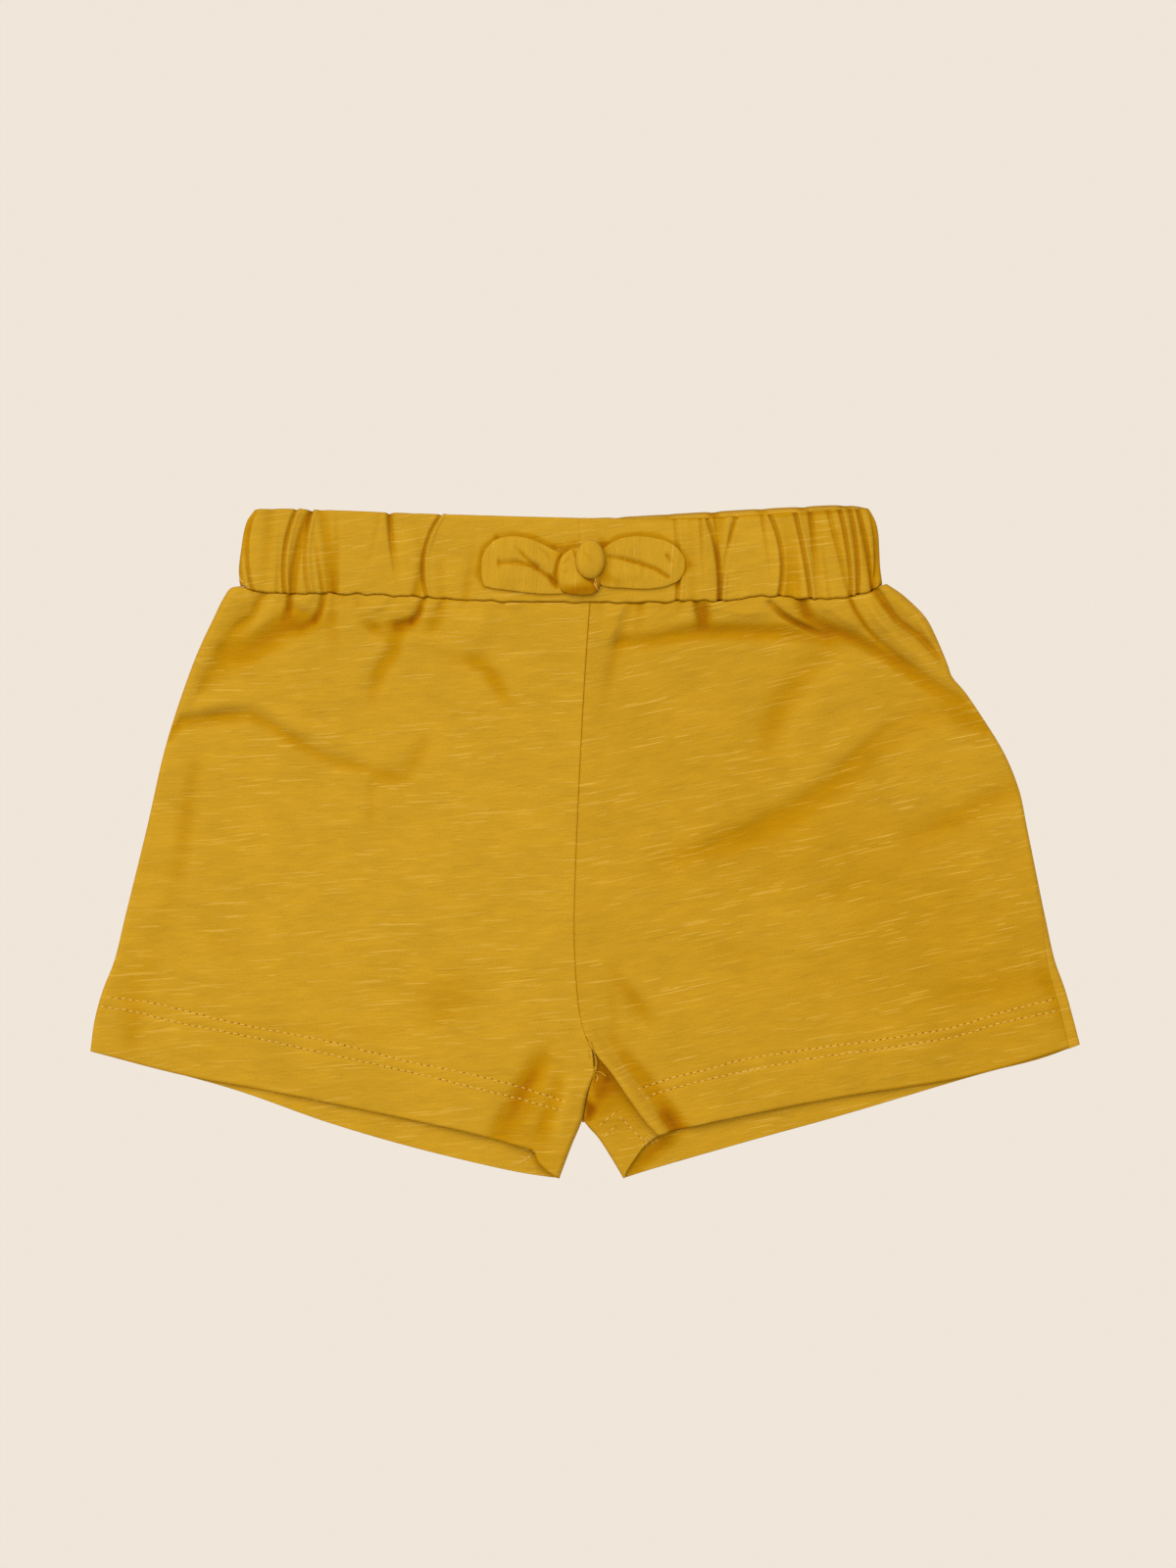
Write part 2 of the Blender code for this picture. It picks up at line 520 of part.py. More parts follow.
def front_panel(patch, seam_column, inner_fold):
    """Grid of a front panel's outer face. inner_fold: whether it turns under at the inner leg."""
    grid = []
    for down in row_shares(FRONT_WAIST_ROWS, FRONT_ROWS):
        across, distance = patch.row(down)
        length = distance[-1]
        fold, start, lift = side_edge(down, seam_column, 1.0)
        below = smoothstep((down - CROTCH) / FRONT_TURN) if inner_fold else 0.0
        inner_radius = SEAM_DIP_WIDTH + (INNER_TURN - SEAM_DIP_WIDTH) * below
        arcs = start + fold * np.linspace(0.0, 1.0, SIDE_COLUMNS) ** EDGE_CROWDING
        ends = length - inner_radius * np.linspace(1.0, 0.0, INNER_COLUMNS) ** EDGE_CROWDING
        middle = arcs[-1] + (ends[0] - arcs[-1]) * np.linspace(0.0, 1.0, FRONT_COLUMNS)[1:-1] ** SIDEWARD
        arcs = np.concatenate([arcs, middle, ends])
        from_side, side_rise = turned(arcs, fold)
        from_inner, inner_rise = turned(length - arcs, inner_radius)
        place = np.where(arcs > length / 2, length - from_inner, from_side)
        share = np.interp(place, distance, across)
        x, y = patch.point(share, np.full(share.shape, down)).T
        height = front_height(share, down, x, y)
        drop = np.hypot(*(patch.point(share, np.full(share.shape, down)) - patch.waist(share)).T)
        height = height - waist_dip(drop)
        edge = height - SEAM_DIP + (INNER_FOLD_HEIGHT + FOLD_GAP - height + SEAM_DIP) * below
        height = edge + (height - edge) * inner_rise
        height = lift + (height - lift) * side_rise
        grid.append(np.stack([x, y, height], axis=-1))
    return np.array(grid)


def back_panel(patch, seam_column, inner_middle):
    """Grid of a back panel's outer face, from its side seam over the fold and along the underside."""
    grid = []
    for down in row_shares(BACK_WAIST_ROWS, BACK_ROWS):
        across, distance = patch.row(down)
        length = distance[-1]
        fold, start, lift = side_edge(down, seam_column, -1.0)
        below = smoothstep((down - CROTCH) / BACK_TURN + 0.5)
        inner_radius = SEAM_DIP_WIDTH + (inner_middle - SEAM_DIP_WIDTH) * below
        arcs = start - (start + fold) * np.linspace(0.0, 1.0, SIDE_COLUMNS + 2) ** BACK_CROWDING
        ends = -length + inner_radius * np.linspace(1.0, 0.0, INNER_COLUMNS) ** EDGE_CROWDING
        middle = np.linspace(arcs[-1], ends[0], BACK_COLUMNS)[1:-1]
        arcs = np.concatenate([arcs, middle, ends])
        from_side, side_rise = turned(arcs, fold)
        from_inner, inner_rise = turned(length + arcs, inner_radius)
        place = np.where(-arcs > length / 2, length - from_inner, from_side)
        share = np.interp(place, distance, across)
        x, y = patch.point(share, np.full(share.shape, down)).T
        edge = BACK_SEAM_LIFT + (inner_middle - BACK_SEAM_LIFT) * below
        under = edge + (under_height(x, y) - edge) * inner_rise
        face = np.where(arcs > 0.0, front_height(share, down, x, y), under)
        grid.append(np.stack([x, y, lift + (face - lift) * side_rise], axis=-1))
    return np.array(grid)


def strip(outline, top, tucked, rim):
    """Grid of the back panel where it comes round the right inner leg, from the fold's middle on."""
    middle = STRIP_TOP / 2
    rows = np.linspace(0.0, 1.0, BACK_ROWS[1])
    patch = Patch(top, rim, outline, tucked)
    grid = []
    for down in rows:
        across, distance = patch.row(down)
        radius = min(middle, distance[-1] * STRIP_TURN_SHARE)
        turn = radius * np.linspace(0.0, 1.0, STRIP_TURN_COLUMNS)
        arcs = np.concatenate([turn, np.linspace(radius, distance[-1], STRIP_FLAT_COLUMNS)[1:]])
        place, rise = turned(arcs, radius)
        share = np.interp(place, distance, across)
        x, y = patch.point(share, np.full(share.shape, down)).T
        grid.append(np.stack([x, y, middle + (STRIP_TOP - middle) * rise], axis=-1))
    return np.array(grid)


def tucked_under(ridge):
    """Inner edge of that strip: it starts at the ridge's upper end and goes in under the ridge."""

    def point(t):
        under = smoothstep(np.asarray(t, float) / TUCK_SHARE)[..., None]
        return ridge(t) + under * STRIP_TUCK * np.array(TUCK_DIRECTION) + (1.0 - under) * np.array(STRIP_TIP)

    return point


def new_collection(name):
    collection = bpy.data.collections.new(name)
    bpy.context.scene.collection.children.link(collection)
    return collection


def cloth_material(name, colour, roughness):
    material = bpy.data.materials.new(name)
    material.use_nodes = True
    shader = material.node_tree.nodes["Principled BSDF"]
    shader.inputs["Base Color"].default_value = colour
    shader.inputs["Roughness"].default_value = roughness
    shader.inputs["Metallic"].default_value = 0.0
    material.diffuse_color = colour
    return material


def add_object(name, points, faces, material, collection):
    mesh = bpy.data.meshes.new(name)
    mesh.from_pydata([tuple(p * MM for p in point) for point in points], [], faces)
    mesh.materials.append(material)
    obj = bpy.data.objects.new(name, mesh)
    collection.objects.link(obj)
    return obj


def face_one_way(obj, downward):
    """Turns the faces of an open sheet so that its main face looks up, or down."""
    shape = bmesh.new()
    shape.from_mesh(obj.data)
    bmesh.ops.recalc_face_normals(shape, faces=shape.faces)
    lean = sum(face.normal.z * face.calc_area() for face in shape.faces)
    if (lean > 0) == downward:
        bmesh.ops.reverse_faces(shape, faces=shape.faces)
    shape.to_mesh(obj.data)
    shape.free()
    obj.data.shade_smooth()


def grid_faces(rows, columns, first=0):
    """Quads of a grid whose points are numbered row by row."""
    corners = (0, 1, columns + 1, columns)
    starts = [first + r * columns + c for r in range(rows - 1) for c in range(columns - 1)]
    return [tuple(start + corner for corner in corners) for start in starts]


def add_wall(obj, thickness):
    wall = obj.modifiers.new("wall", "SOLIDIFY")
    wall.thickness = thickness * MM
    wall.offset = -1.0


def add_panel(name, grid, downward, material, collection, wrapped=None):
    """A panel's wall from its outer face. wrapped: a grid whose first column is its last one."""
    rows, columns, _ = grid.shape
    points = list(grid.reshape(-1, 3))
    faces = grid_faces(rows, columns)
    if wrapped is not None:
        first_row = rows - wrapped.shape[0]
        numbers = []
        for r in range(wrapped.shape[0]):
            shared = (first_row + r) * columns + columns - 1
            numbers.append([shared] + [len(points) + c for c in range(wrapped.shape[1] - 1)])
            points.extend(wrapped[r, 1:])
        for upper, lower in zip(numbers, numbers[1:]):
            faces += [(upper[c], upper[c + 1], lower[c + 1], lower[c]) for c in range(len(upper) - 1)]
    obj = add_object(name, points, faces, material, collection)
    face_one_way(obj, downward)
    add_wall(obj, CLOTH)
    return obj


def band_depth(folds, x, up):
    """Depth of the gathers at x, at a share of the band's height."""
    total = np.zeros(np.shape(x))
    for fold in folds:
        line = fold.seam + (fold.top - fold.seam) * up
        strength = fold.to_seam + (fold.from_top - fold.to_seam) * smoothstep(up)
        total += fold.depth * strength * np.exp(-(((x - line) / fold.width) ** 2))
    return np.minimum(total, CASING - BAND_LEAST_WALL)


def band_loop():
    """Stations round the band: signed half (1 front, -1 back), share across and angle of the end fold."""
    half = np.linspace(0.0, 1.0, BAND_STATIONS)
    turn = np.linspace(0.0, np.pi, BAND_END_STATIONS + 2)[1:-1]
    stations = [(1, t, 0.0) for t in half]
    stations += [(0, 1.0, a) for a in turn]
    stations += [(-1, t, np.pi) for t in half[::-1]]
    stations += [(0, 0.0, a) for a in turn[::-1]]
    return stations


def band_point(station, up, depth_in):
    """A point of the band: up is the share of its height, depth_in the distance in from its outer face."""
    half, across, angle = station
    radius = BAND_TOP / 2
    left, right = BAND_LEFT(up) + [radius, 0.0], BAND_RIGHT(up) - [radius, 0.0]
    outward = 1.0 if across > 0.5 else -1.0
    front = 0.5 + 0.5 * np.cos(angle)
    x = left[0] + (right[0] - left[0]) * across + outward * radius * np.sin(angle)
    seam = front * WAIST_F(x) + (1.0 - front) * WAIST_B(x)
    top = front * TOP_F(x) + (1.0 - front) * TOP_B(x)
    y = seam + SEAM_GAP + (top - seam - SEAM_GAP) * up
    if half:
        folds = BAND_FRONT_FOLDS if half > 0 else BAND_BACK_FOLDS
        fade = smoothstep(across * BAND_END_FADE) * smoothstep((1.0 - across) * BAND_END_FADE)
        fade *= 1.0 - smoothstep(depth_in / BAND_INNER_EVEN)
        depth_in = depth_in + band_depth(folds, x, up) * fade
    x = x - outward * depth_in * np.sin(angle)
    z = radius + (radius - depth_in) * np.cos(angle)
    return (x, y, z)


def height_over(line):
    points = line(np.linspace(0.0, 1.0, 200))
    return lambda x: np.interp(x, points[:, 0], points[:, 1])


BAND_LEFT, BAND_RIGHT = curve(BAND_END_LEFT), curve(BAND_END_RIGHT)
WAIST_F, WAIST_B = height_over(curve(WAIST_FRONT)), height_over(curve(WAIST_BACK))
TOP_F, TOP_B = height_over(curve(BAND_TOP_FRONT)), height_over(curve(BAND_TOP_BACK))


def add_waistband(material, collection):
    """The casing as a closed ring: each station is a flat section with round edges."""
    section = [(0.0, CASING / 2)]
    section += [(up, BAND_CROWN if up in (BAND_OUTER[0], BAND_OUTER[-1]) else 0.0) for up in BAND_OUTER]
    section += [(1.0, CASING / 2)]
    section += [(up, CASING - (BAND_CROWN if up != 0.5 else 0.0)) for up in BAND_INNER]
    stations = band_loop()
    points = [band_point(station, up, depth_in) for station in stations for up, depth_in in section]
    n, m = len(stations), len(section)
    faces = [
        (i * m + j, ((i + 1) % n) * m + j, ((i + 1) % n) * m + (j + 1) % m, i * m + (j + 1) % m)
        for i in range(n)
        for j in range(m)
    ]
    obj = add_object("waistband", points, faces, material, collection)
    close_normals(obj)
    return obj


def close_normals(obj):
    shape = bmesh.new()
    shape.from_mesh(obj.data)
    bmesh.ops.recalc_face_normals(shape, faces=shape.faces)
    if shape.calc_volume(signed=True) < 0:
        bmesh.ops.reverse_faces(shape, faces=shape.faces)
    shape.to_mesh(obj.data)
    shape.free()
    obj.data.shade_smooth()


def add_pillow(name, sections, grow, material, collection):
    """A flat closed tube of the bow, from rings through its sections. grow makes it larger all round."""
    left, right = sections[0].x, sections[-1].x
    turns = np.linspace(0.0, np.pi, BOW_RINGS)
    angles = 2 * np.pi * np.arange(BOW_SIDES) / BOW_SIDES
    rise = np.sign(np.sin(angles)) * np.abs(np.sin(angles)) ** BOW_FLATNESS
    points = []
    for x in left + (right - left) * (0.5 - 0.5 * np.cos(turns)):
        low, high, thick = (float(between(sections, column, x)) for column in ("low", "high", "thick"))
        outward = grow * (x - (left + right) / 2) / (right - left) * 2
        for k, angle in enumerate(angles):
            y = (low + high) / 2 + ((high - low) / 2 + grow) * np.cos(angle)
            dish = BOW_DISH if k == BOW_SIDES // 4 and not grow else 0.0
            points.append((x + outward, y, BOW_REST + thick / 2 + (thick / 2 + grow) * rise[k] - dish))
    faces = [tuple(range(BOW_SIDES)), tuple(range(len(points) - BOW_SIDES, len(points)))]
    for ring in range(BOW_RINGS - 1):
        for k in range(BOW_SIDES):
            near, far, after = ring * BOW_SIDES, (ring + 1) * BOW_SIDES, (k + 1) % BOW_SIDES
            faces.append((near + k, near + after, far + after, far + k))
    obj = add_object(name, points, faces, material, collection)
    close_normals(obj)
    return obj


def add_knot(name, grow, material, collection):
    """The knot's round body, larger all round by grow."""
    shape = bmesh.new()
    bmesh.ops.create_uvsphere(shape, u_segments=16, v_segments=10, radius=1.0)
    for vert in shape.verts:
        for i in range(3):
            vert.co[i] = (KNOT_CENTRE[i] + vert.co[i] * (KNOT_RADII[i] + grow)) * MM
    mesh = bpy.data.meshes.new(name)
    shape.to_mesh(mesh)
    shape.free()
    mesh.materials.append(material)
    mesh.shade_smooth()
    obj = bpy.data.objects.new(name, mesh)
    collection.objects.link(obj)
    return obj


def leave_room(obj, cutter):
    cutter.hide_render = True
    cutter.display_type = "WIRE"
    room = obj.modifiers.new(cutter.name, "BOOLEAN")
    room.operation = "DIFFERENCE"
    room.solver = "EXACT"
    room.object = cutter


def add_bow(material, collection, cutters):
    """Two loops that go in under the wrap and the knot, the wrap, and the knot on top of it."""
    left = add_pillow("bow_loop_left", LOOP_LEFT, 0.0, material, collection)
    right = add_pillow("bow_loop_right", LOOP_RIGHT, 0.0, material, collection)
    wrap = add_pillow("bow_wrap", WRAP, 0.0, material, collection)
    add_knot("bow_knot", 0.0, material, collection)
    knot_room = add_knot("knot_room", SEAM_GAP, material, cutters)
    wrap_room = add_pillow("wrap_room", WRAP, SEAM_GAP, material, cutters)
    leave_room(wrap, knot_room)
    for loop in (left, right):
        leave_room(loop, knot_room)
        leave_room(loop, wrap_room)


def share_at(line, axis, value):
    """The share of a curve's length where one coordinate, which only grows or falls, has a value."""
    shares = np.linspace(0.0, 1.0, 400)
    along = line(shares)[:, axis]
    return np.interp(value, along, shares) if along[-1] > along[0] else np.interp(-value, -along, shares)


def half_of(line, x, rightwards):
    """The part of a left-to-right curve on one side of x, run from its outer end to x."""
    return part_of(line, 1.0 if rightwards else 0.0, share_at(line, 0, x))


def main():
    for obj in list(bpy.data.objects):
        bpy.data.objects.remove(obj, do_unlink=True)
    collection = new_collection("baby_shorts")
    cutters = new_collection("cutters")
    jersey = cloth_material("jersey", MUSTARD, 0.9)
    casing = cloth_material("casing_jersey", MUSTARD, 0.9)
    bow_cloth = cloth_material("bow_jersey", MUSTARD_BOW, 0.9)
    half_gap = CENTRE_GAP / 2

    waist = moved(curve(WAIST_FRONT), 0.0, -SEAM_GAP / 2)
    down_to_crotch = curve(CENTRE_FRONT + CENTRE_TO_CROTCH[1:])
    down_to_ridge = part_of(down_to_crotch, 0.0, share_at(down_to_crotch, 1, RIDGE_RIGHT[0][1]))
    front_left = Patch(
        half_of(waist, CENTRE_FRONT[0][0] - half_gap, False),
        joined(curve(HEM_FRONT_LEFT), curve(RIM_FRONT_LEFT), RIM),
        curve(SIDE_LEFT),
        moved(joined(down_to_crotch, curve(INNER_LEG_LEFT), CROTCH), -half_gap),
    )
    front_right = Patch(
        half_of(waist, CENTRE_FRONT[0][0] + half_gap, True),
        curve(HEM_FRONT_RIGHT),
        curve(SIDE_RIGHT),
        moved(joined(down_to_ridge, curve(RIDGE_RIGHT), CROTCH), half_gap),
    )
    waist = moved(curve(WAIST_BACK), 0.0, -SEAM_GAP / 2)
    back_centre = curve(CENTRE_BACK)
    back_left = Patch(
        half_of(waist, CENTRE_BACK[0][0] - half_gap, False),
        curve(HEM_BACK_LEFT),
        curve(SIDE_LEFT),
        moved(joined(back_centre, curve(INNER_LEG_LEFT), CROTCH), -half_gap),
    )
    back_right = Patch(
        half_of(waist, CENTRE_BACK[0][0] + half_gap, True),
        curve(HEM_BACK_RIGHT),
        curve(SIDE_RIGHT),
        moved(joined(back_centre, curve(INNER_LEG_RIGHT), CROTCH), half_gap),
    )
    add_panel("front_left", front_panel(front_left, "seam_left", True), False, jersey, collection)
    add_panel("front_right", front_panel(front_right, "seam_right", False), False, jersey, collection)
    left_middle = INNER_FOLD_HEIGHT - FOLD_GAP
    add_panel("back_left", back_panel(back_left, "seam_left", left_middle), True, jersey, collection)
    outline = moved(curve(INNER_LEG_RIGHT), half_gap)
    wrapped = strip(
        outline,
        moved(curve(CENTRE_TO_CROTCH[::-1]), half_gap * 2),
        tucked_under(curve(RIDGE_RIGHT)),
        moved(curve(STRIP_RIM), half_gap),
    )
    add_panel(
        "back_right",
        back_panel(back_right, "seam_right", STRIP_TOP / 2),
        True,
        jersey,
        collection,
        wrapped,
    )
    add_waistband(casing, collection)
    add_bow(bow_cloth, collection, cutters)


main()
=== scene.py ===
"""Baby shorts in slub jersey, laid flat with the front up, seen from straight above.

+X runs to the right and +Y towards the waistband, +Z up out of the surface. The tables are in
millimetres. Each cloth piece is a thin wall on the form of the solid that it stands for, on a finer
grid, with the smaller creases, seams and hems worked in.
"""

from collections import namedtuple

import bmesh
import bpy
import numpy as np
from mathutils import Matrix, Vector
from mathutils.bvhtree import BVHTree


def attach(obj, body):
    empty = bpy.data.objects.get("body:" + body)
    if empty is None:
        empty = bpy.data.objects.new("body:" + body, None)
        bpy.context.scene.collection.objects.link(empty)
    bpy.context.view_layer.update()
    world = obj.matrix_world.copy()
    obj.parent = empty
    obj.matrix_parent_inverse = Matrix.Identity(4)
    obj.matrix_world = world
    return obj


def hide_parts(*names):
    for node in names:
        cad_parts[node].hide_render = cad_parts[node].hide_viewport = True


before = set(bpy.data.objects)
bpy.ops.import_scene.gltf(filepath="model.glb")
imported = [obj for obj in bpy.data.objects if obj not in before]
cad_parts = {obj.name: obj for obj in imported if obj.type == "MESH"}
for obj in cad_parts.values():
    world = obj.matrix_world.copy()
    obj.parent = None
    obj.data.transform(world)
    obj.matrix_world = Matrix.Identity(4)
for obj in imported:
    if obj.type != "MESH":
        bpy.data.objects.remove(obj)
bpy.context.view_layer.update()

MM = 0.001

# Cloth
CLOTH = 1.0  # wall of a jersey panel
CASING = 3.3  # wall of the waistband
SEAM_GAP = 0.03  # between the band and what lies next to it
CENTRE_GAP = 0.06  # at the centre seams
FOLD_GAP = 0.05  # a panel's edge over, or under, the middle of a round fold that holds a seam

# Heights over the surface
BAND_TOP = 7.0  # outer face of the band's front half
SEAM_DIP = 0.22  # how far a panel sinks towards a sewn edge
SEAM_DIP_WIDTH = 0.8
PUCKER = 0.2  # how far the waist seam wavers, and the cloth down to the next distance under it
PUCKER_REACH = 4.0
WAIST_SINK = 0.3  # of a fold at the waist seam, under the band's face
WAIST_SLOPE = 0.15  # how fast a fold may rise from there with the distance from the seam
BACK_SEAM_LIFT = 0.35  # how far the centre back seam rises off the surface
LEAST_HEIGHT = 2.15  # lowest outer face of a front panel, clear of the back panel
FLOOR_ROUNDING = 0.5  # over LEAST_HEIGHT, where the floor of a deep valley rounds off
INNER_FOLD_HEIGHT = 1.9  # middle of the round fold at the left inner leg
INNER_TURN = 1.7  # how far in the front panel starts to turn under there
STRIP_TOP = 2.8  # outer face of the back panel where it comes round the right inner leg
STRIP_TUCK = 1.6  # how far that strip goes in under the front panel
TUCK_DIRECTION = (0.8, 0.6)
TUCK_SHARE = 0.33  # share of the strip's length in which it goes in
STRIP_TURN_SHARE = 0.3  # largest share of its width that the round fold takes
STRIP_TIP = (0.4, -0.9)  # its upper tip, from the upper end of the front panel's ridge
BROAD_WAVE = 0.12  # soft unevenness of the front
SMALL_WAVE = 0.02
UNDER_WAVE = 0.1

# The band's section
BAND_LEAST_WALL = 0.7  # what a gather leaves of its wall
BAND_PLEAT_SHADE = 1.25  # what a gather's depth counts for as painted shade
BAND_INNER_EVEN = 2.0  # depth at which the gathers no longer show
BAND_EDGE_ROUND = 0.24  # how far its edges round off, over the next share of its height
BAND_EDGE_SHARE = 0.06
BAND_NOTCH = 0.25  # how far a gather draws its top edge down, as a share of the gather's depth
BAND_NOTCH_FROM = 0.7  # share of its height where that starts
BAND_END_TURN = 0.5  # cosine of the angle to which gathers run on round the band's ends

# Shares of a panel's rows, and of the left front's hem up to where its rim turns
CROTCH = 0.8
RIM = 0.93
FRONT_TURN = 0.05  # rows over which the inner fold forms below the crotch
BACK_TURN = 0.02

# Share of a fold's path in which it grows, and where it starts to decline
FOLD_GROWTH = 0.35
FOLD_DECLINE = 0.5

# Plan curves: rows of x, y
WAIST_FRONT = (
    (-101.6, 75.6), (-97.3, 74), (-89.8, 73.2), (-75.8, 73.1), (-52.6, 72.3), (-26.5, 70.9), (1.6, 70.5),
    (18.4, 70.6), (32.3, 71.1), (41.6, 70.9), (51.8, 72.3), (70.6, 71.5), (78.4, 72.3), (85.4, 74.2),
    (87.3, 75.6), (89.2, 76.1),
)
WAIST_BACK = (
    (-101.6, 75.6), (-96, 74.4), (-60, 73.4), (1.6, 72.6), (50, 73.6), (82, 74.6), (87.3, 75.6), (89.2, 76.1),
)
SIDE_LEFT = (
    (-101.6, 75.6), (-104.5, 75), (-106.7, 72.1), (-110, 65.4), (-112.9, 59.4), (-116.2, 51.5), (-123.7, 29),
    (-129.5, 3.9), (-135.9, -22.2), (-139.1, -35.2), (-142.5, -43.9), (-144.9, -52.6), (-146.2, -61.9),
)
SIDE_RIGHT = (
    (89.2, 76.1), (92.4, 74.2), (96.2, 71.1), (100.9, 66.2), (104.2, 59.9), (107.4, 52.2), (108.6, 48.9),
    (112.4, 44.4), (118, 36.2), (124.2, 26), (128.6, 15), (130.9, 3.9), (136.2, -22.2), (139.1, -35.2),
    (142.2, -43.9), (144.6, -52.6), (146.5, -59.9),
)
CENTRE_FRONT = ((1.6, 70.5), (-0.1, 46), (-2.8, -11.5), (-3, -30.6), (-1.6, -49.7), (0.1, -57))
CENTRE_TO_CROTCH = ((0.1, -57), (1.9, -60.8), (2.8, -67.7))
CENTRE_BACK = ((1.6, 72.6), (0.2, 30), (-0.6, -20), (1, -50), (2.8, -67.7))
INNER_LEG_LEFT = ((2.8, -67.7), (1.3, -72.9), (0.4, -75.8), (-0.7, -81.9), (-3.9, -89.8), (-7.5, -99.4))
INNER_LEG_RIGHT = (
    (2.8, -67.7), (1.5, -72.9), (0.65, -75.8), (0, -79.2), (-0.4, -82), (1, -84.2), (3.9, -87.4),
    (7.4, -92.7), (11.5, -99.6),
)
RIDGE_RIGHT = ((0.1, -57), (3.3, -62.5), (8, -68.3), (13.5, -76.4), (18.7, -83.4), (21.9, -86.6))
STRIP_RIM = ((11.5, -99.6), (12.3, -97.6), (14.1, -94.7), (18.1, -89.5), (23.1, -85.9))
HEM_FRONT_LEFT = (
    (-146.2, -61.9), (-118.2, -69.1), (-95.6, -73.2), (-51.2, -82.2), (-32.6, -86.3), (-14.9, -91.2),
)
RIM_FRONT_LEFT = ((-14.9, -91.2), (-13.8, -94.4), (-10.6, -97.6), (-7.5, -99.4))
HEM_FRONT_RIGHT = (
    (146.5, -59.9), (143.1, -60.9), (115, -69), (75.5, -75.5), (47.4, -80.8), (27.7, -85.1), (21.9, -86.6),
)
HEM_BACK_LEFT = (
    (-146.2, -61.9), (-118.2, -69.2), (-102.2, -73.8), (-75.8, -83.1), (-51.2, -90.3), (-20.4, -97.6),
    (-7.5, -99.6),
)
HEM_BACK_RIGHT = (
    (146.5, -59.9), (134.7, -64.2), (117.6, -68.6), (75.5, -81.1), (47.4, -88.9), (15.5, -98.2),
    (11.5, -99.6),
)
BAND_END_LEFT = ((-101.8, 75.6), (-102.1, 80.6), (-101.4, 87), (-100.4, 93.2), (-99.4, 96), (-97.4, 98.2))
BAND_END_RIGHT = ((88, 75.6), (87.3, 81), (87, 87), (86.7, 91.6), (85.9, 95.2), (84, 98.4))
BAND_TOP_FRONT = (
    (-97.4, 98.2), (-86, 98.2), (-45.4, 96.7), (18.4, 95.3), (44.5, 96.1), (76, 98.3), (84.6, 98.2),
)
BAND_TOP_BACK = ((-97.4, 98.2), (-45, 96), (1, 95.8), (31.8, 97.4), (60, 99), (78, 99.6), (84.6, 98.6))

# Outer face of a front panel: down is the share of the way from waist to hem
Height = namedtuple("Height", "down side middle centre")
FRONT_HEIGHTS = (
    Height(0, 6.7, 6.75, 6.75),
    Height(0.04, 6.35, 6.45, 6.2),
    Height(0.14, 4.9, 5.1, 4.6),
    Height(0.35, 3.7, 4.3, 3.9),
    Height(0.75, 3.3, 4, 3.8),
    Height(0.92, 3, 3.4, 3.8),
    Height(1, 2.45, 2.4, 4),
)

# Middle of the round fold at the side, and how far in from the outline the side seam lies
SideFold = namedtuple("SideFold", "down height seam_left seam_right")
SIDE_FOLDS = (
    SideFold(0, 2.8, 0, 0),
    SideFold(0.15, 2.2, 0, 0),
    SideFold(0.35, 1.7, 0, 0),
    SideFold(0.66, 1.6, 0, 0),
    SideFold(0.88, 1.6, 0, 3.1),
    SideFold(1, 1.6, 0, 3.5),
)

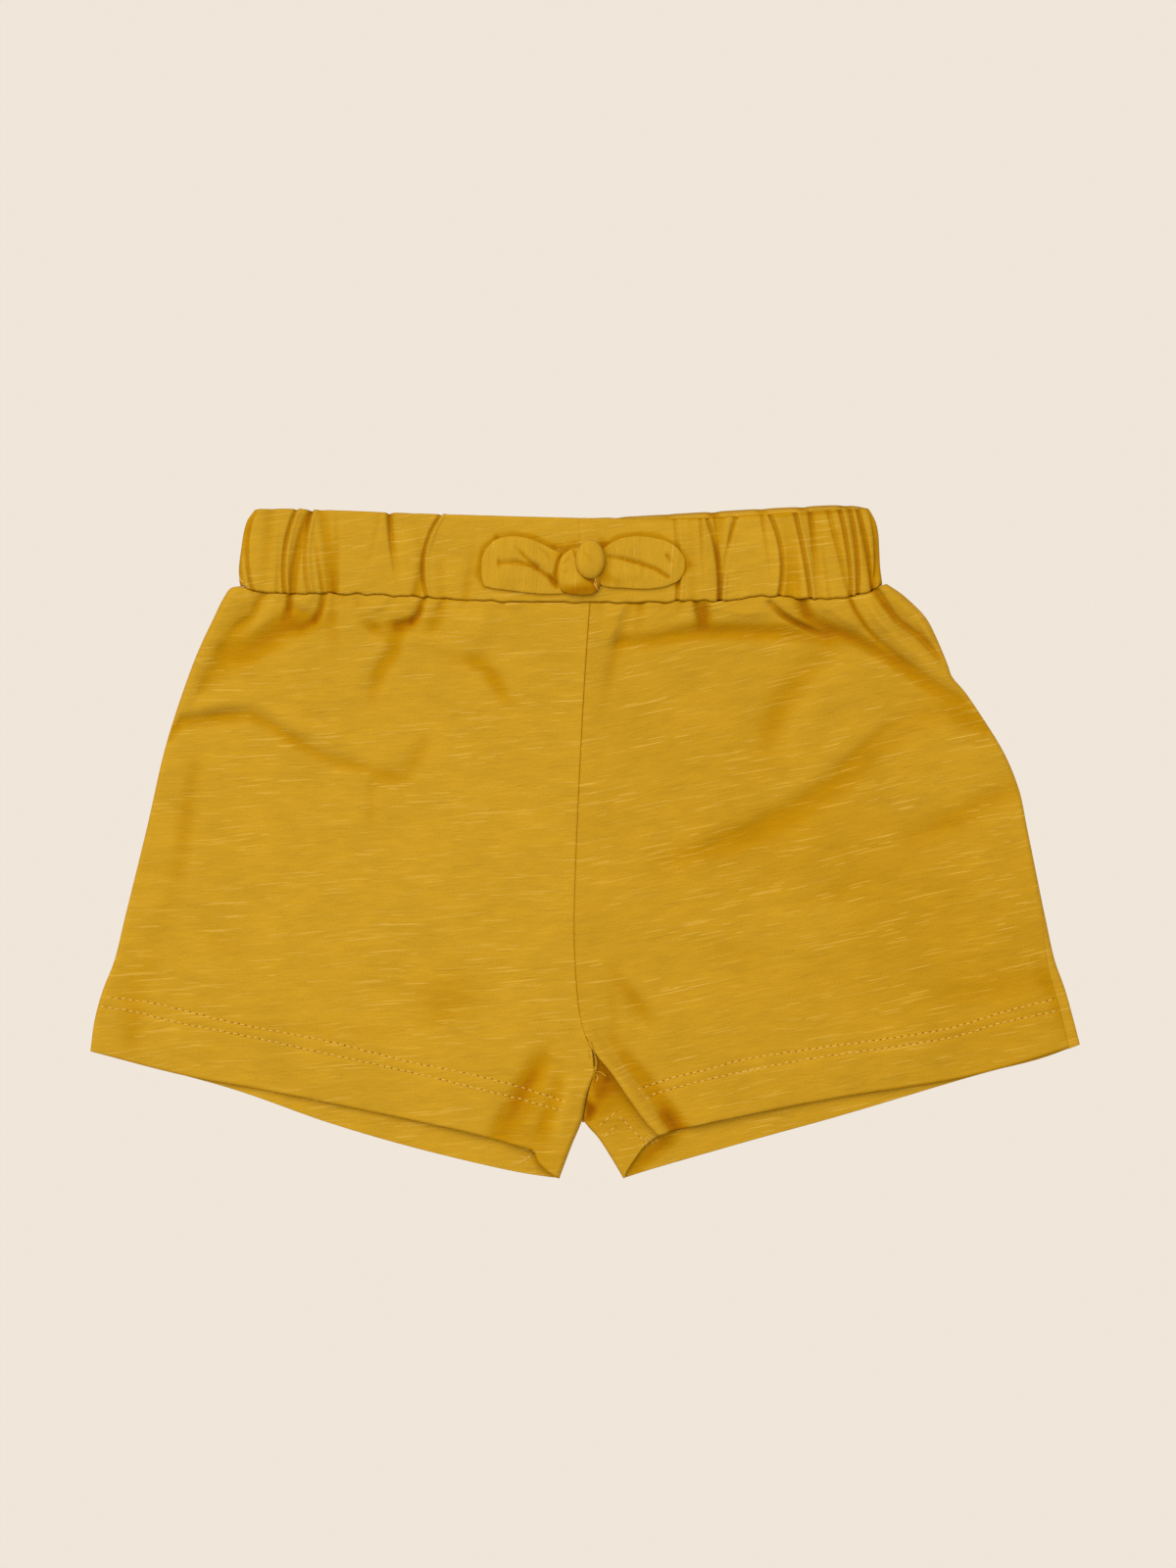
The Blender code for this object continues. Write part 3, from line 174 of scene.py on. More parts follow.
# Folds of the front panels. path: x, y points. width: how far it reaches to each side. height: over
# the broad form, negative for a valley. head, tail: share of the height that it has at its first
# point and at its last one.
Fold = namedtuple("Fold", "path width height head tail", defaults=(0.0,))
FRONT_FOLDS = (
    # gathers just under the waist seam
    Fold(((-94.8, 72.8), (-99.6, 67.6), (-104.6, 60.5), (-108.5, 53), (-112.8, 44)), 3, -0.8, 0.5, 0.3),
    Fold(((-91, 72.6), (-92.8, 67.4), (-97.5, 62.4), (-103, 58.4)), 2, 0.5, 0.8),
    Fold(((-86.8, 72.6), (-87, 69.2), (-88.6, 65.4)), 0.95, -1.3, 1, 0.5),
    Fold(((-85.4, 66.4), (-91.4, 61.6), (-98, 57), (-105, 53.4), (-111, 46.6)), 4.4, -1.25, 0.5, 0.3),
    Fold(((-76.8, 72.8), (-77.8, 68.4), (-79.8, 65), (-83.4, 62.8)), 1, -1.2, 1, 0.3),
    Fold(((-78.6, 64.4), (-84, 63.4), (-90, 63.6)), 2.6, -0.6, 0.8, 0.4),
    Fold(((-81.8, 72.6), (-83, 67.6)), 1.8, 1.1, 0.9),
    Fold(((-73.6, 72.6), (-74.2, 66), (-75.4, 60)), 1.6, -0.6, 0.9),
    Fold(((-66.6, 70), (-64.2, 65.2), (-60, 61), (-55, 58)), 1.8, -0.6, 0.5),
    Fold(((-62, 72), (-60, 67)), 3, 0.8, 0.8),
    Fold(((-47.4, 71.6), (-48.8, 67.4), (-51.4, 64.8), (-55, 64.2)), 1, -1.25, 1, 0.4),
    Fold(((-49.6, 65.4), (-54, 63.4), (-60, 63.4)), 2.3, -0.9, 0.8, 0.4),
    Fold(((-54.8, 62.5), (-56.8, 56), (-61, 49.6), (-62.2, 44), (-61, 34)), 2.4, -0.85, 0.9),
    Fold(((-41, 70.8), (-43.6, 65), (-48.4, 60)), 2.4, -0.6, 0.8),
    Fold(((-30, 70.4), (-31, 63), (-36, 57)), 3.4, 0.8, 0.8),
    Fold(((-42, 54.4), (-34, 53.8), (-28.4, 49.6), (-24, 43), (-20, 35)), 2.5, -0.6, 0.6),
    Fold(((-32, 53.8), (-26, 57.2), (-19, 59.6)), 2.4, -0.3, 0.9),
    Fold(((13.6, 70.4), (12.4, 65), (9.6, 57.4), (6.8, 46), (4.6, 32)), 1.9, -0.6, 0.9),
    Fold(((16.6, 70.4), (16.4, 65), (14.6, 60)), 1.5, -0.5, 0.9),
    Fold(((9.5, 70), (8.8, 63), (4.5, 55)), 2, 0.9, 0.9),
    Fold(((72, 60.4), (58, 61.8), (46, 61.9), (34, 62), (25, 60.4), (17, 58.8), (10.6, 58.6)),
          2.5, -1.45, 0.7, 0.6),
    Fold(((35.4, 69), (35.2, 66.6), (34.9, 64)), 1.9, -1.3, 0.8, 0.8),
    Fold(((32.9, 70.8), (33.3, 67.4), (34.4, 65)), 0.7, -0.9, 1, 0.6),
    Fold(((43, 69.8), (50, 68.4), (56, 66.6)), 2.6, 1.1, 0.8),
    Fold(((54.6, 70.6), (58.2, 67.2), (61.8, 65), (66, 63.2), (71.6, 60.6)), 0.9, -1.5, 0.5, 0.2),
    Fold(((63.6, 71.8), (65, 67.6), (68, 65), (73, 62.6), (80, 60), (90, 54.2), (100, 47.6), (110, 42),
          (118.6, 33)), 2.2, -1.5, 0.8, 0.35),
    Fold(((72, 69.6), (76, 66.2), (83, 61.8)), 1.8, 1.2, 0.4),
    # folds over the right hip
    Fold(((81.6, 72.4), (86.4, 65.4), (93.6, 58.6), (101.4, 52.6), (108.6, 47.6)), 2.3, 1.6, 0.25, 0.4),
    Fold(((86, 74), (88.8, 69.6), (92.6, 64.8), (98.4, 60.8), (103, 55.6), (106.4, 51)),
          1.25, -1.1, 0.9, 0.5),
    Fold(((89.4, 74), (95, 68.4), (100.4, 62.4), (105, 55)), 1.9, 1.3, 0.25),
    # broad folds of the left leg
    Fold(((-124, 31.6), (-118.6, 35.4), (-110, 36.5), (-99, 37.6), (-92, 34.2), (-85, 29.4), (-76, 24.4),
          (-67, 22), (-56.6, 19.4)), 2.2, -1.1, 1, 0.3),
    Fold(((-58, 18.6), (-53.4, 18.8), (-50.2, 24), (-46.6, 30.6), (-42, 36)), 3.3, -0.65, 0.9),
    Fold(((-121, 40.4), (-108, 41.8), (-97, 42.6), (-86, 35.6), (-73, 28.6), (-60, 26)), 3.6, 0.9, 0.6, 0.2),
    Fold(((-98.4, 47), (-91, 41), (-80, 36.6), (-66, 33.6)), 2.4, -0.6, 0.4),
    Fold(((-113.6, 27), (-117, 10), (-118.4, -3), (-118.6, -10)), 3.2, -0.45, 0.4, 0.4),
    Fold(((-131, -7), (-118, -8.4)), 2.4, -0.35, 0.7),
    Fold(((-60, 0), (-50, -22), (-47, -42)), 12, 0.6, 0.2),
    Fold(((-62.4, 18), (-63, 8), (-61, -4)), 2, -0.5, 0.7),
    Fold(((-132, -30), (-135, -44), (-134, -62)), 4.5, -0.5, 0.3, 0.6),
    Fold(((-28, -48), (-40, -47), (-52, -56)), 6.5, -0.45, 0.4),
    # broad folds of the right leg
    Fold(((73, 57), (65, 49.4), (58.4, 41.6), (54, 31), (51.6, 17)), 4.6, -0.8, 0.6),
    Fold(((84, 55), (71.5, 44), (63.6, 33), (60, 20)), 5, 0.5, 0.3),
    Fold(((21, -6.6), (36, -2.6), (49, 2.2), (61, 8.8), (71, 15.6), (80, 22), (90, 29.6), (100, 36),
          (112, 38)), 4.3, -0.75, 0.5, 0.35),
    Fold(((48, 10), (62, 16.6), (76, 28), (88, 38)), 4.6, 0.4, 0.4),
    Fold(((97, 2), (109, 6.6), (118, 12), (129, 16.4)), 3.8, -0.6, 0.4, 0.9),
    Fold(((96, 12), (110, 19), (122, 22)), 4, 0.35, 0.4),
    Fold(((40, -30), (62, -24), (86, -14)), 10, 0.5, 0.2),
    Fold(((100, -47), (118, -43), (137, -40)), 4, -0.3, 0.3, 0.8),
    Fold(((134, -36), (139.4, -46), (144, -59)), 2.4, -0.6, 0.5, 0.8),
    # round the crotch and the inner legs
    Fold(((8, -37), (11, -44), (17, -50.6), (25, -57)), 3, -0.5, 0.5),
    Fold(((7.6, -44), (9, -52), (8.8, -59)), 1.6, -0.45, 0.5, 0.5),
    Fold(((0.6, -57.5), (5, -63.5), (11.5, -71.5), (17.5, -80), (22.5, -86)), 2.4, 2, 0.4, 0.8),
    Fold(((8.4, -58), (12.4, -64.4), (18.4, -71.6), (24, -78.4), (29, -85)), 2.4, -1.5, 0.3, 1),
    Fold(((21, -78), (25.2, -82.6), (26.6, -86)), 2.3, -1.1, 0.2, 1),
    Fold(((-10.6, -60), (-15, -68), (-20, -76.6), (-25, -86)), 3.6, -1.3, 0.3, 0.9),
    Fold(((-6.6, -67), (-9.6, -78), (-14.4, -89)), 2.2, -0.6, 0.5, 0.5),
    Fold(((-3, -68), (-6, -80), (-9.6, -92)), 2.6, 0.7, 0.4, 0.4),
)

# Gathers on the underside of the back panels, at the back waist seam
Gather = namedtuple("Gather", "x lean reach width height")
BACK_GATHERS = (
    Gather(-92, -5, 16, 2.4, 1),
    Gather(-80.5, -3, 9, 1.9, 0.8),
    Gather(-66, -2.5, 14, 2.4, 0.9),
    Gather(-51, 1, 8, 1.9, 0.7),
    Gather(-38.5, -1.5, 13, 2.3, 1),
    Gather(-21, 1, 9, 2, 0.8),
    Gather(14, 1.5, 11, 2.2, 0.8),
    Gather(27, -0.5, 15, 2.4, 1),
    Gather(42.5, 2, 8, 1.9, 0.7),
    Gather(55, 2.5, 13, 2.3, 0.9),
    Gather(69.5, 3.5, 9, 2, 0.8),
    Gather(79.5, 6, 15, 2.3, 1),
)

# Gathers of the waistband, by x at its top edge and at its seam
BandFold = namedtuple("BandFold", "top seam width depth from_top to_seam bend", defaults=(0.0,))
BAND_FRONT_FOLDS = (
    BandFold(-80.6, -86.2, 1.3, 1.5, 0.8, 1, -1.2),
    BandFold(-77.6, -75, 1.5, 1.2, 0.6, 0.7, 0.6),
    BandFold(-72.8, -73.4, 1.1, 0.9, 0.3, 1),
    BandFold(-92.4, -94.6, 1.8, 0.6, 0.9, 0.6),
    BandFold(-57.4, -53.4, 1.1, 0.9, 1, 0.1, -0.6),
    BandFold(-51, -49.8, 1.5, 0.9, 0.2, 1, 2.4),
    BandFold(-43, -42, 1.6, 0.4, 0.2, 1),
    BandFold(-31, -35, 1.5, 0.5, 0, 1),
    BandFold(31.6, 32, 1.5, 0.5, 0.5, 0.9),
    BandFold(40.2, 39.9, 1.6, 0.8, 0.8, 0.3, -0.6),
    BandFold(58.4, 60.4, 2, 1.3, 0.2, 0.8, 1.2),
    BandFold(66.6, 69.4, 1.4, 0.7, 0.9, 0.5),
    BandFold(71.4, 78, 0.9, 1.1, 0.9, 0.8, 0),
    BandFold(78.4, 80.6, 0.9, 0.5, 0.5, 1, 0.6),
    BandFold(80.8, 84.6, 1, 0.6, 0.6, 1, 0.3),
)
BAND_BACK_FOLDS = (
    BandFold(-93, -95, 1.7, 1.3, 1, 1),
    BandFold(-80, -81, 1.7, 1.6, 1, 1),
    BandFold(-69.5, -66.5, 1.8, 1, 0.5, 1),
    BandFold(-58, -58.6, 1.6, 1.6, 1, 1),
    BandFold(-43, -39.5, 1.8, 1.3, 1, 1),
    BandFold(-27, -29, 1.8, 1, 1, 0.4),
    BandFold(-13.5, -12, 1.7, 1.4, 1, 1),
    BandFold(9.5, 12, 1.7, 1.4, 1, 1),
    BandFold(24, 25.5, 1.8, 1.2, 0.5, 1),
    BandFold(38, 40.5, 1.6, 1.6, 1, 1),
    BandFold(52.5, 54, 1.8, 1, 1, 0.5),
    BandFold(64.5, 68, 1.7, 1.4, 1, 1),
    BandFold(77, 80, 1.6, 1.3, 1, 1),
)

# Bow: sections across each piece, from left to right
BowSection = namedtuple("BowSection", "x low high thick")
LOOP_LEFT = (
    BowSection(-30.6, 78.6, 82.4, 0.6),
    BowSection(-29.9, 76.2, 84.6, 1),
    BowSection(-28.2, 75, 87.4, 1.3),
    BowSection(-25, 74.4, 89.5, 1.4),
    BowSection(-21, 73.9, 90.1, 1.4),
    BowSection(-16, 73.3, 89.3, 1.4),
    BowSection(-12, 73, 87.6, 1.4),
    BowSection(-8.6, 73, 85.8, 1.3),
    BowSection(-6.2, 73.3, 84.9, 1.1),
    BowSection(-3.4, 75.8, 84, 0.9),
)
LOOP_RIGHT = (
    BowSection(3, 77, 85, 0.9),
    BowSection(5, 75.6, 86.2, 1.2),
    BowSection(7.6, 75, 88, 1.4),
    BowSection(11, 74.8, 89.5, 1.4),
    BowSection(16, 74.5, 90.1, 1.4),
    BowSection(21, 74.7, 89.5, 1.4),
    BowSection(25.4, 75.8, 88, 1.3),
    BowSection(28.2, 77.6, 85.6, 1),
    BowSection(29.6, 80, 83.2, 0.6),
)
WRAP = (
    BowSection(-8, 76.8, 80.6, 1.3),
    BowSection(-7.2, 74.6, 83.2, 1.9),
    BowSection(-5.4, 73.3, 85.3, 2.4),
    BowSection(-2.6, 72.8, 86.6, 2.8),
    BowSection(0.5, 72.7, 85, 2.8),
    BowSection(3, 73.3, 80.5, 2.4),
    BowSection(4.4, 74.9, 78.2, 1.6),
)
KNOT_CENTRE = (1.6, 83.1, 9.3)
KNOT_RADII = (4.3, 5.7, 2.4)
KNOT_FLATNESS = 0.75  # the same power as for the rings
BOW_FLATNESS = 0.7  # power of a ring's rise: 1 is an ellipse, less is flatter
BOW_REST = BAND_TOP + SEAM_GAP  # underside of the bow

# Painted shade: the cloth's colour is made darker and redder in folds, seams, hems and under and round the
# bow, where shade falls between cloth and cloth. A fold counts by its depth, and these are the places where
# more shade is painted than its shape shows, in the same form.
PAINTED_SHADE_DEPTH = 2.6  # depth that counts as painted shade of 1
PAINTED_SHADE_MOST = 1.6
SEAM_SHADE = 0.9
SEAM_SHADE_WIDTH = 0.8
HEM_SHADE = 0.85
BOW_RIM = 0.7  # how far in from a loop's end its rim gets painted shade
BOW_RIM_RISE = 0.55  # share of its rise up to which its edge is
BOW_RIM_SHADE = 0.5
KNOT_RIM_SHADE = 0.3
BOW_CREASE_SHADE = 1.6  # for each millimetre of a crease's depth
FRONT_SHADES = (
    Fold(((-85, 66), (-92, 61.4), (-101, 56)), 4, 0.7, 1, 0.5),
    Fold(((-77.2, 71.4), (-78, 67.6), (-79.6, 65.2)), 0.8, 1.5, 0.6, 1),
    Fold(((-80, 64.8), (-84, 63), (-88, 62.8)), 2.4, 0.7, 1, 0.5),
    Fold(((-48, 70.6), (-49, 67), (-51.2, 65)), 0.8, 1.5, 0.6, 1),
    Fold(((-51, 64.8), (-55, 64.2), (-58.6, 64.8)), 1.6, 1, 1, 0.3),
    Fold(((-74.6, 66), (-74, 60), (-75, 54)), 2.6, 0.55, 0.7, 0.4),
    Fold(((-55.6, 62), (-56.4, 56), (-60.6, 50)), 2.6, 0.5, 0.9, 0.6),
    Fold(((-43.6, 67), (-46, 62)), 2.4, 0.5, 0.7, 0.7),
    Fold(((-38, 54.2), (-30, 52.6), (-24, 45), (-20, 38)), 2.4, 0.3, 0.6, 0.6),
    Fold(((-116.6, 22), (-118.6, 4), (-120, -8), (-128, -34), (-134, -58)), 3.2, 0.35, 0.6, 0.9),
    Fold(((-105, -54.6), (-84, -55.6), (-60, -57), (-40, -52)), 2.4, 0.35, 0.6, 0.6),
    Fold(((-62, -46), (-44, -42), (-26, -36)), 9, 0.3, 0.6, 0.6),
    Fold(((-13.6, -72), (-17, -80), (-19, -88)), 4, 0.5, 0.4, 1),
    Fold(((-87, 71.6), (-87.2, 66.6)), 0.9, 1.4, 1, 0.8),
    Fold(((-12.6, -63), (-18, -75), (-24, -86)), 3.4, 0.35, 0.6, 1),
    Fold(((-3, -68), (-7, -80), (-11, -92)), 6, 0.75, 0.4, 1),
    Fold(((35.4, 69.6), (35.2, 65.6)), 1.7, 1.2, 1, 1),
    Fold(((12, 60), (24, 62), (34, 63.4), (47, 63.5), (60, 63.2)), 1.9, 0.35, 0.6, 0.8),
    Fold(((66, -4), (96, -22), (122, -40)), 40, 0.5, 1, 1),
    Fold(((64, 70), (66, 66), (74, 62.4), (88, 56.4), (102, 48)), 1.8, 0.6, 1, 0.4),
    Fold(((22.6, -79), (26.2, -84.6)), 2.2, 1.6, 0.2, 1),
    Fold(((78.3, 71.6), (79.6, 68.6), (82.6, 64), (86.6, 59.6)), 0.55, 1.8, 1, 0.6),
    Fold(((85, 74), (87.6, 70.4), (90.8, 66.4)), 1, 0.9, 1, 0.5),
    Fold(((92, 42), (108, 40), (116, 33)), 5, 0.4, 0.5, 1),
)
STRIP_FOLDS = (
    Fold(((4.4, -66), (8.6, -71.4), (13, -77)), 1.8, -0.5, 1),
    Fold(((7.4, -70.4), (5, -75), (3.2, -79.6)), 1.1, -0.4, 0.6, 0.8),
    Fold(((0.4, -77.6), (1.8, -79), (1, -81.4)), 1.2, -0.8, 0.8, 0.8),
)
STRIP_SHADES = (
    Fold(((3.4, -64), (7.4, -70), (11.4, -75.6), (17, -82.6)), 2.2, 0.9, 1, 0.3),
    Fold(((6, -70), (5, -77)), 3, 1.3, 1, 0.2),
    Fold(((0.8, -77.4), (1.9, -79.2), (1, -81.6)), 1.3, 3.4, 0.7, 0.7),
    Fold(((10, -76), (14, -88)), 8, 0.6, 1, 0.6),
    Fold(((4, -67), (3.6, -82)), 4, 1.1, 1, 0.5),
)
BACK_SHADES = (
    Fold(((-118, -69.7), (-95, -74), (-70, -79.1), (-51.2, -82.9), (-32.6, -87), (-15.4, -91.9)),
          0.8, 0.25, 0.3, 0.9),
    Fold(((-15, -92.2), (-13.2, -95.4), (-9.6, -98)), 1.8, 1, 0.9, 0.6),
    Fold(((112, -70.4), (75.5, -76.2), (47.4, -81.5), (27.7, -85.8)), 0.8, 0.2, 0.2, 0.9),
    Fold(((28, -86.4), (24, -88.6), (20, -91.4), (15, -96.6)), 2.4, 2.2, 0.4, 0.7),
)
WRAP_SHADES = (
    Fold(((-7, 73.6), (-1, 74), (4, 74.6)), 2, 2.4, 0.7, 1),
    Fold(((-1.6, 83), (-1.2, 80), (0.6, 78), (3, 76.6)), 1.1, 1.4, 0.8, 1),
)
LEFT_SHADES = (
    Fold(((-9.6, 78.2), (-9.3, 75.8)), 0.9, 0.9, 1, 1),
    Fold(((-8.6, 84.6), (-6, 84)), 1.4, 1, 0.6, 1),
    Fold(((-4.6, 86.4), (-6.6, 84.6), (-8, 82), (-8.6, 78.8), (-8.2, 75)), 0.6, 1.8, 1, 0.8),
)
RIGHT_SHADES = (
    Fold(((5.4, 86), (6, 82), (5.4, 77.6)), 1.9, 0.9, 1, 0.7),
    Fold(((5, 78.6), (9, 77.2), (14, 76.4)), 1.8, 0.8, 1, 0.3),
    Fold(((17.4, 80.6), (17, 77)), 1, 0.5, 0.6, 0.8),
)
BAND_SHADES = (
    Fold(((-99.6, 95), (-101, 88), (-101.8, 81), (-101.4, 76)), 1, 1.2, 0.8, 1),
    Fold(((85.4, 96), (86.6, 88), (87, 81), (87.4, 76)), 1.2, 0.7, 0.8, 1),
    Fold(((70, 92), (78, 88), (84, 84)), 7, 0.35, 0.8, 1),
    Fold(((2, 94.7), (30, 95.2), (45, 95.9), (60, 96.6), (74, 97.4), (84, 98.2)), 0.45, 1.6, 0.1, 0.9),
    Fold(((-8.6, 87), (-5.6, 86.2), (-3, 87.6)), 1.4, 2, 0.6, 0.8),
    Fold(((5, 88), (6, 86.6)), 1.5, 2, 1, 1),
    Fold(((-8, 72.4), (-1, 72.2), (5, 73.6), (14, 73.8), (26, 74.8)), 0.8, 0.4, 0.8, 0.4),
    Fold(((-10, 72.2), (-20, 72.8), (-29, 74.8)), 0.9, 0.5, 0.8, 0.8),
    Fold(((-29.6, 75.4), (-31.4, 79), (-30, 86.4), (-26, 89.8)), 0.9, 1.6, 0.6, 0.8),
    Fold(((-26, 89.8), (-21, 90.7), (-15, 89.8), (-9, 86.6)), 0.9, 1.7, 0.8, 1),
    Fold(((6, 87.4), (10, 89.8), (16, 90.7), (22, 90), (27.6, 87), (30.6, 82), (27, 75.6)), 0.9, 1.5, 1, 1),
)

# Finer creases, in the same form as the folds above
FINE_FOLDS = (
    # left half, under the seam
    Fold(((-94.6, 73), (-97.9, 66.7), (-102.5, 63.6), (-105.4, 59.3)), 1, -0.7, 0.9),
    Fold(((-64.5, 63.9), (-60.2, 61.9)), 1.6, -0.6, 0.6),
    Fold(((-98.9, 72.9), (-97.6, 69.5)), 1.1, 0.6, 0.9),
    Fold(((-84, 72.4), (-84.6, 68.6)), 1, 0.5, 0.9),
    Fold(((-71, 72.2), (-70.6, 68.8)), 1.3, -0.4, 0.9),
    Fold(((-66.8, 72.2), (-66, 67.8)), 1.1, -0.35, 0.9),
    Fold(((-56.5, 71.9), (-57.2, 67.6)), 1.3, -0.4, 0.9),
    Fold(((-51, 71.7), (-51.8, 68)), 1, 0.4, 0.9),
    Fold(((-41.6, 71.4), (-43.4, 66.6)), 1, -0.5, 0.9),
    Fold(((-35, 71.1), (-35.8, 67)), 1.2, -0.3, 0.9),
    Fold(((-24, 70.9), (-24.4, 66.6)), 1.3, -0.25, 0.9),
    Fold(((-12.6, 70.7), (-13.2, 67.2)), 1.2, -0.25, 0.9),
    # right half, under the seam
    Fold(((5.6, 70.5), (5.2, 66.8)), 1, -0.3, 0.9),
    Fold(((17, 70.6), (16.2, 66.4)), 1.2, -0.35, 0.9),
    Fold(((23.4, 70.7), (23, 66.8)), 1.1, -0.35, 0.9),
    Fold(((28.6, 70.9), (28, 66)), 1.2, -0.5, 0.9),
    Fold(((32.8, 70.9), (35, 65.6)), 1.1, -0.7, 0.9),
    Fold(((38.4, 70.9), (38, 67.6)), 1.1, 0.6, 0.9),
    Fold(((41.8, 71), (42.8, 67.6)), 0.9, -0.5, 0.9),
    Fold(((46.6, 71.4), (47.8, 67.8)), 1.1, 0.5, 0.9),
    Fold(((54.6, 70.6), (58.4, 66.8), (63.4, 64), (68.9, 61.6), (73.2, 59)), 0.7, -0.8, 0.5),
    Fold(((64.5, 71.5), (65.6, 67), (68.9, 64.8)), 1, -0.7, 1),
    Fold(((70, 71.5), (72, 67)), 1.2, 0.5, 0.9),
    # right hip
    Fold(((77.9, 71.8), (80.2, 67.6), (83.4, 62.8), (88, 58.4), (95.6, 52.3), (106, 47)), 0.7, -0.9, 0.9),
    Fold(((86.6, 74.2), (89.4, 69.4), (92.4, 65.2), (97.3, 61.8), (102.4, 57), (105.4, 53)),
          0.65, -0.75, 1, 0.6),
    Fold(((96.6, 66.3), (99, 61.9), (102.2, 57.3), (105.7, 52.9)), 0.9, -0.7, 0.7),
    Fold(((82.4, 72.8), (86.6, 65.4), (92, 60)), 1, 0.6, 0.9),
    # left leg
    Fold(((-121.9, 30.9), (-118.8, 36.4), (-111.5, 37), (-105.4, 37.8), (-99, 38.7), (-94.7, 36.7)),
          1, -0.5, 0.5),
    Fold(((-88.9, 32.3), (-81.9, 29.1), (-79, 28.6)), 1.4, -0.25, 0.4),
    Fold(((-77, 26), (-69.5, 23.3), (-61.3, 21), (-55.5, 19.6)), 2.2, -0.4, 0.3),
    Fold(((-119.2, 36.5), (-108, 41), (-98, 42)), 2.2, 0.5, 0.3),
    Fold(((-115.3, 41), (-112.9, 45.4), (-110.2, 51.2)), 1.4, -0.5, 0.4),
    Fold(((-108.5, 54.1), (-105.4, 59.3)), 1.5, -0.4, 0.4),
    Fold(((-30.6, 54.1), (-24.6, 45), (-19, 36.7)), 2.6, -0.35, 0.3),
    Fold(((-116, -20), (-108, -30), (-96, -36)), 3.5, -0.35, 0.3),
    Fold(((-70, -20), (-56, -30), (-40, -34)), 4, -0.3, 0.3),
    # right leg
    Fold(((23.6, -4.9), (36.9, -1.3), (50.3, 4.8), (60.9, 11.9)), 1.8, -0.35, 0.3),
    Fold(((70.6, 18.2), (79.6, 25.4), (88.3, 33.2), (99.9, 39.6)), 1.9, -0.4, 0.3),
    Fold(((106.3, 39.6), (117.6, 32.3)), 1.8, -0.5, 0.3),
    Fold(((55, -20), (72, -16), (90, -8)), 3, -0.3, 0.3),
    Fold(((30, -30), (48, -33), (64, -30)), 3.5, -0.3, 0.3),
    # crotch and inner legs
    Fold(((9.7, -38.4), (15.5, -47), (23.3, -57.6)), 1.8, -0.5, 0.4),
    Fold(((-0.6, -52.5), (2.8, -58), (8, -65.5)), 1, 0.6, 0.4),
    Fold(((-11.2, -64.2), (-19.3, -74.4), (-24.5, -85.1)), 1.6, -0.7, 0.3),
    Fold(((-11.2, -81.1), (-13.8, -87.7)), 1.4, -0.6, 0.5),
    Fold(((-3, -67.4), (0.4, -66.7), (2.4, -67)), 0.6, -0.3, 0.4, 1),
)

# Creases of the underside, which leave the surface
BACK_FOLDS = (
    Fold(((-84, 60), (-92, 44), (-96, 26)), 3.4, 0.8, 0.3),
    Fold(((-44, 62), (-50, 40), (-48, 20)), 3, 0.7, 0.3),
    Fold(((-20, 50), (-30, 30), (-46, 8)), 3.6, 0.6, 0.3),
    Fold(((-112, 10), (-90, 2), (-62, 6)), 3, 0.5, 0.3),
    Fold(((-30, -30), (-60, -34), (-92, -30)), 3.6, 0.5, 0.3),
    Fold(((-10, -60), (-22, -48), (-30, -34)), 2.6, 0.5, 0.4),
    Fold(((24, 60), (32, 40), (30, 18)), 3, 0.7, 0.3),
    Fold(((66, 62), (74, 44), (92, 28)), 3.4, 0.8, 0.3),
    Fold(((20, 8), (44, 0), (74, 6)), 3.4, 0.5, 0.3),
    Fold(((112, 4), (92, -10), (66, -16)), 3, 0.5, 0.3),
    Fold(((18, -58), (30, -44), (36, -28)), 2.8, 0.5, 0.4),
    Fold(((52, -42), (80, -38), (108, -30)), 3.4, 0.4, 0.3),
)

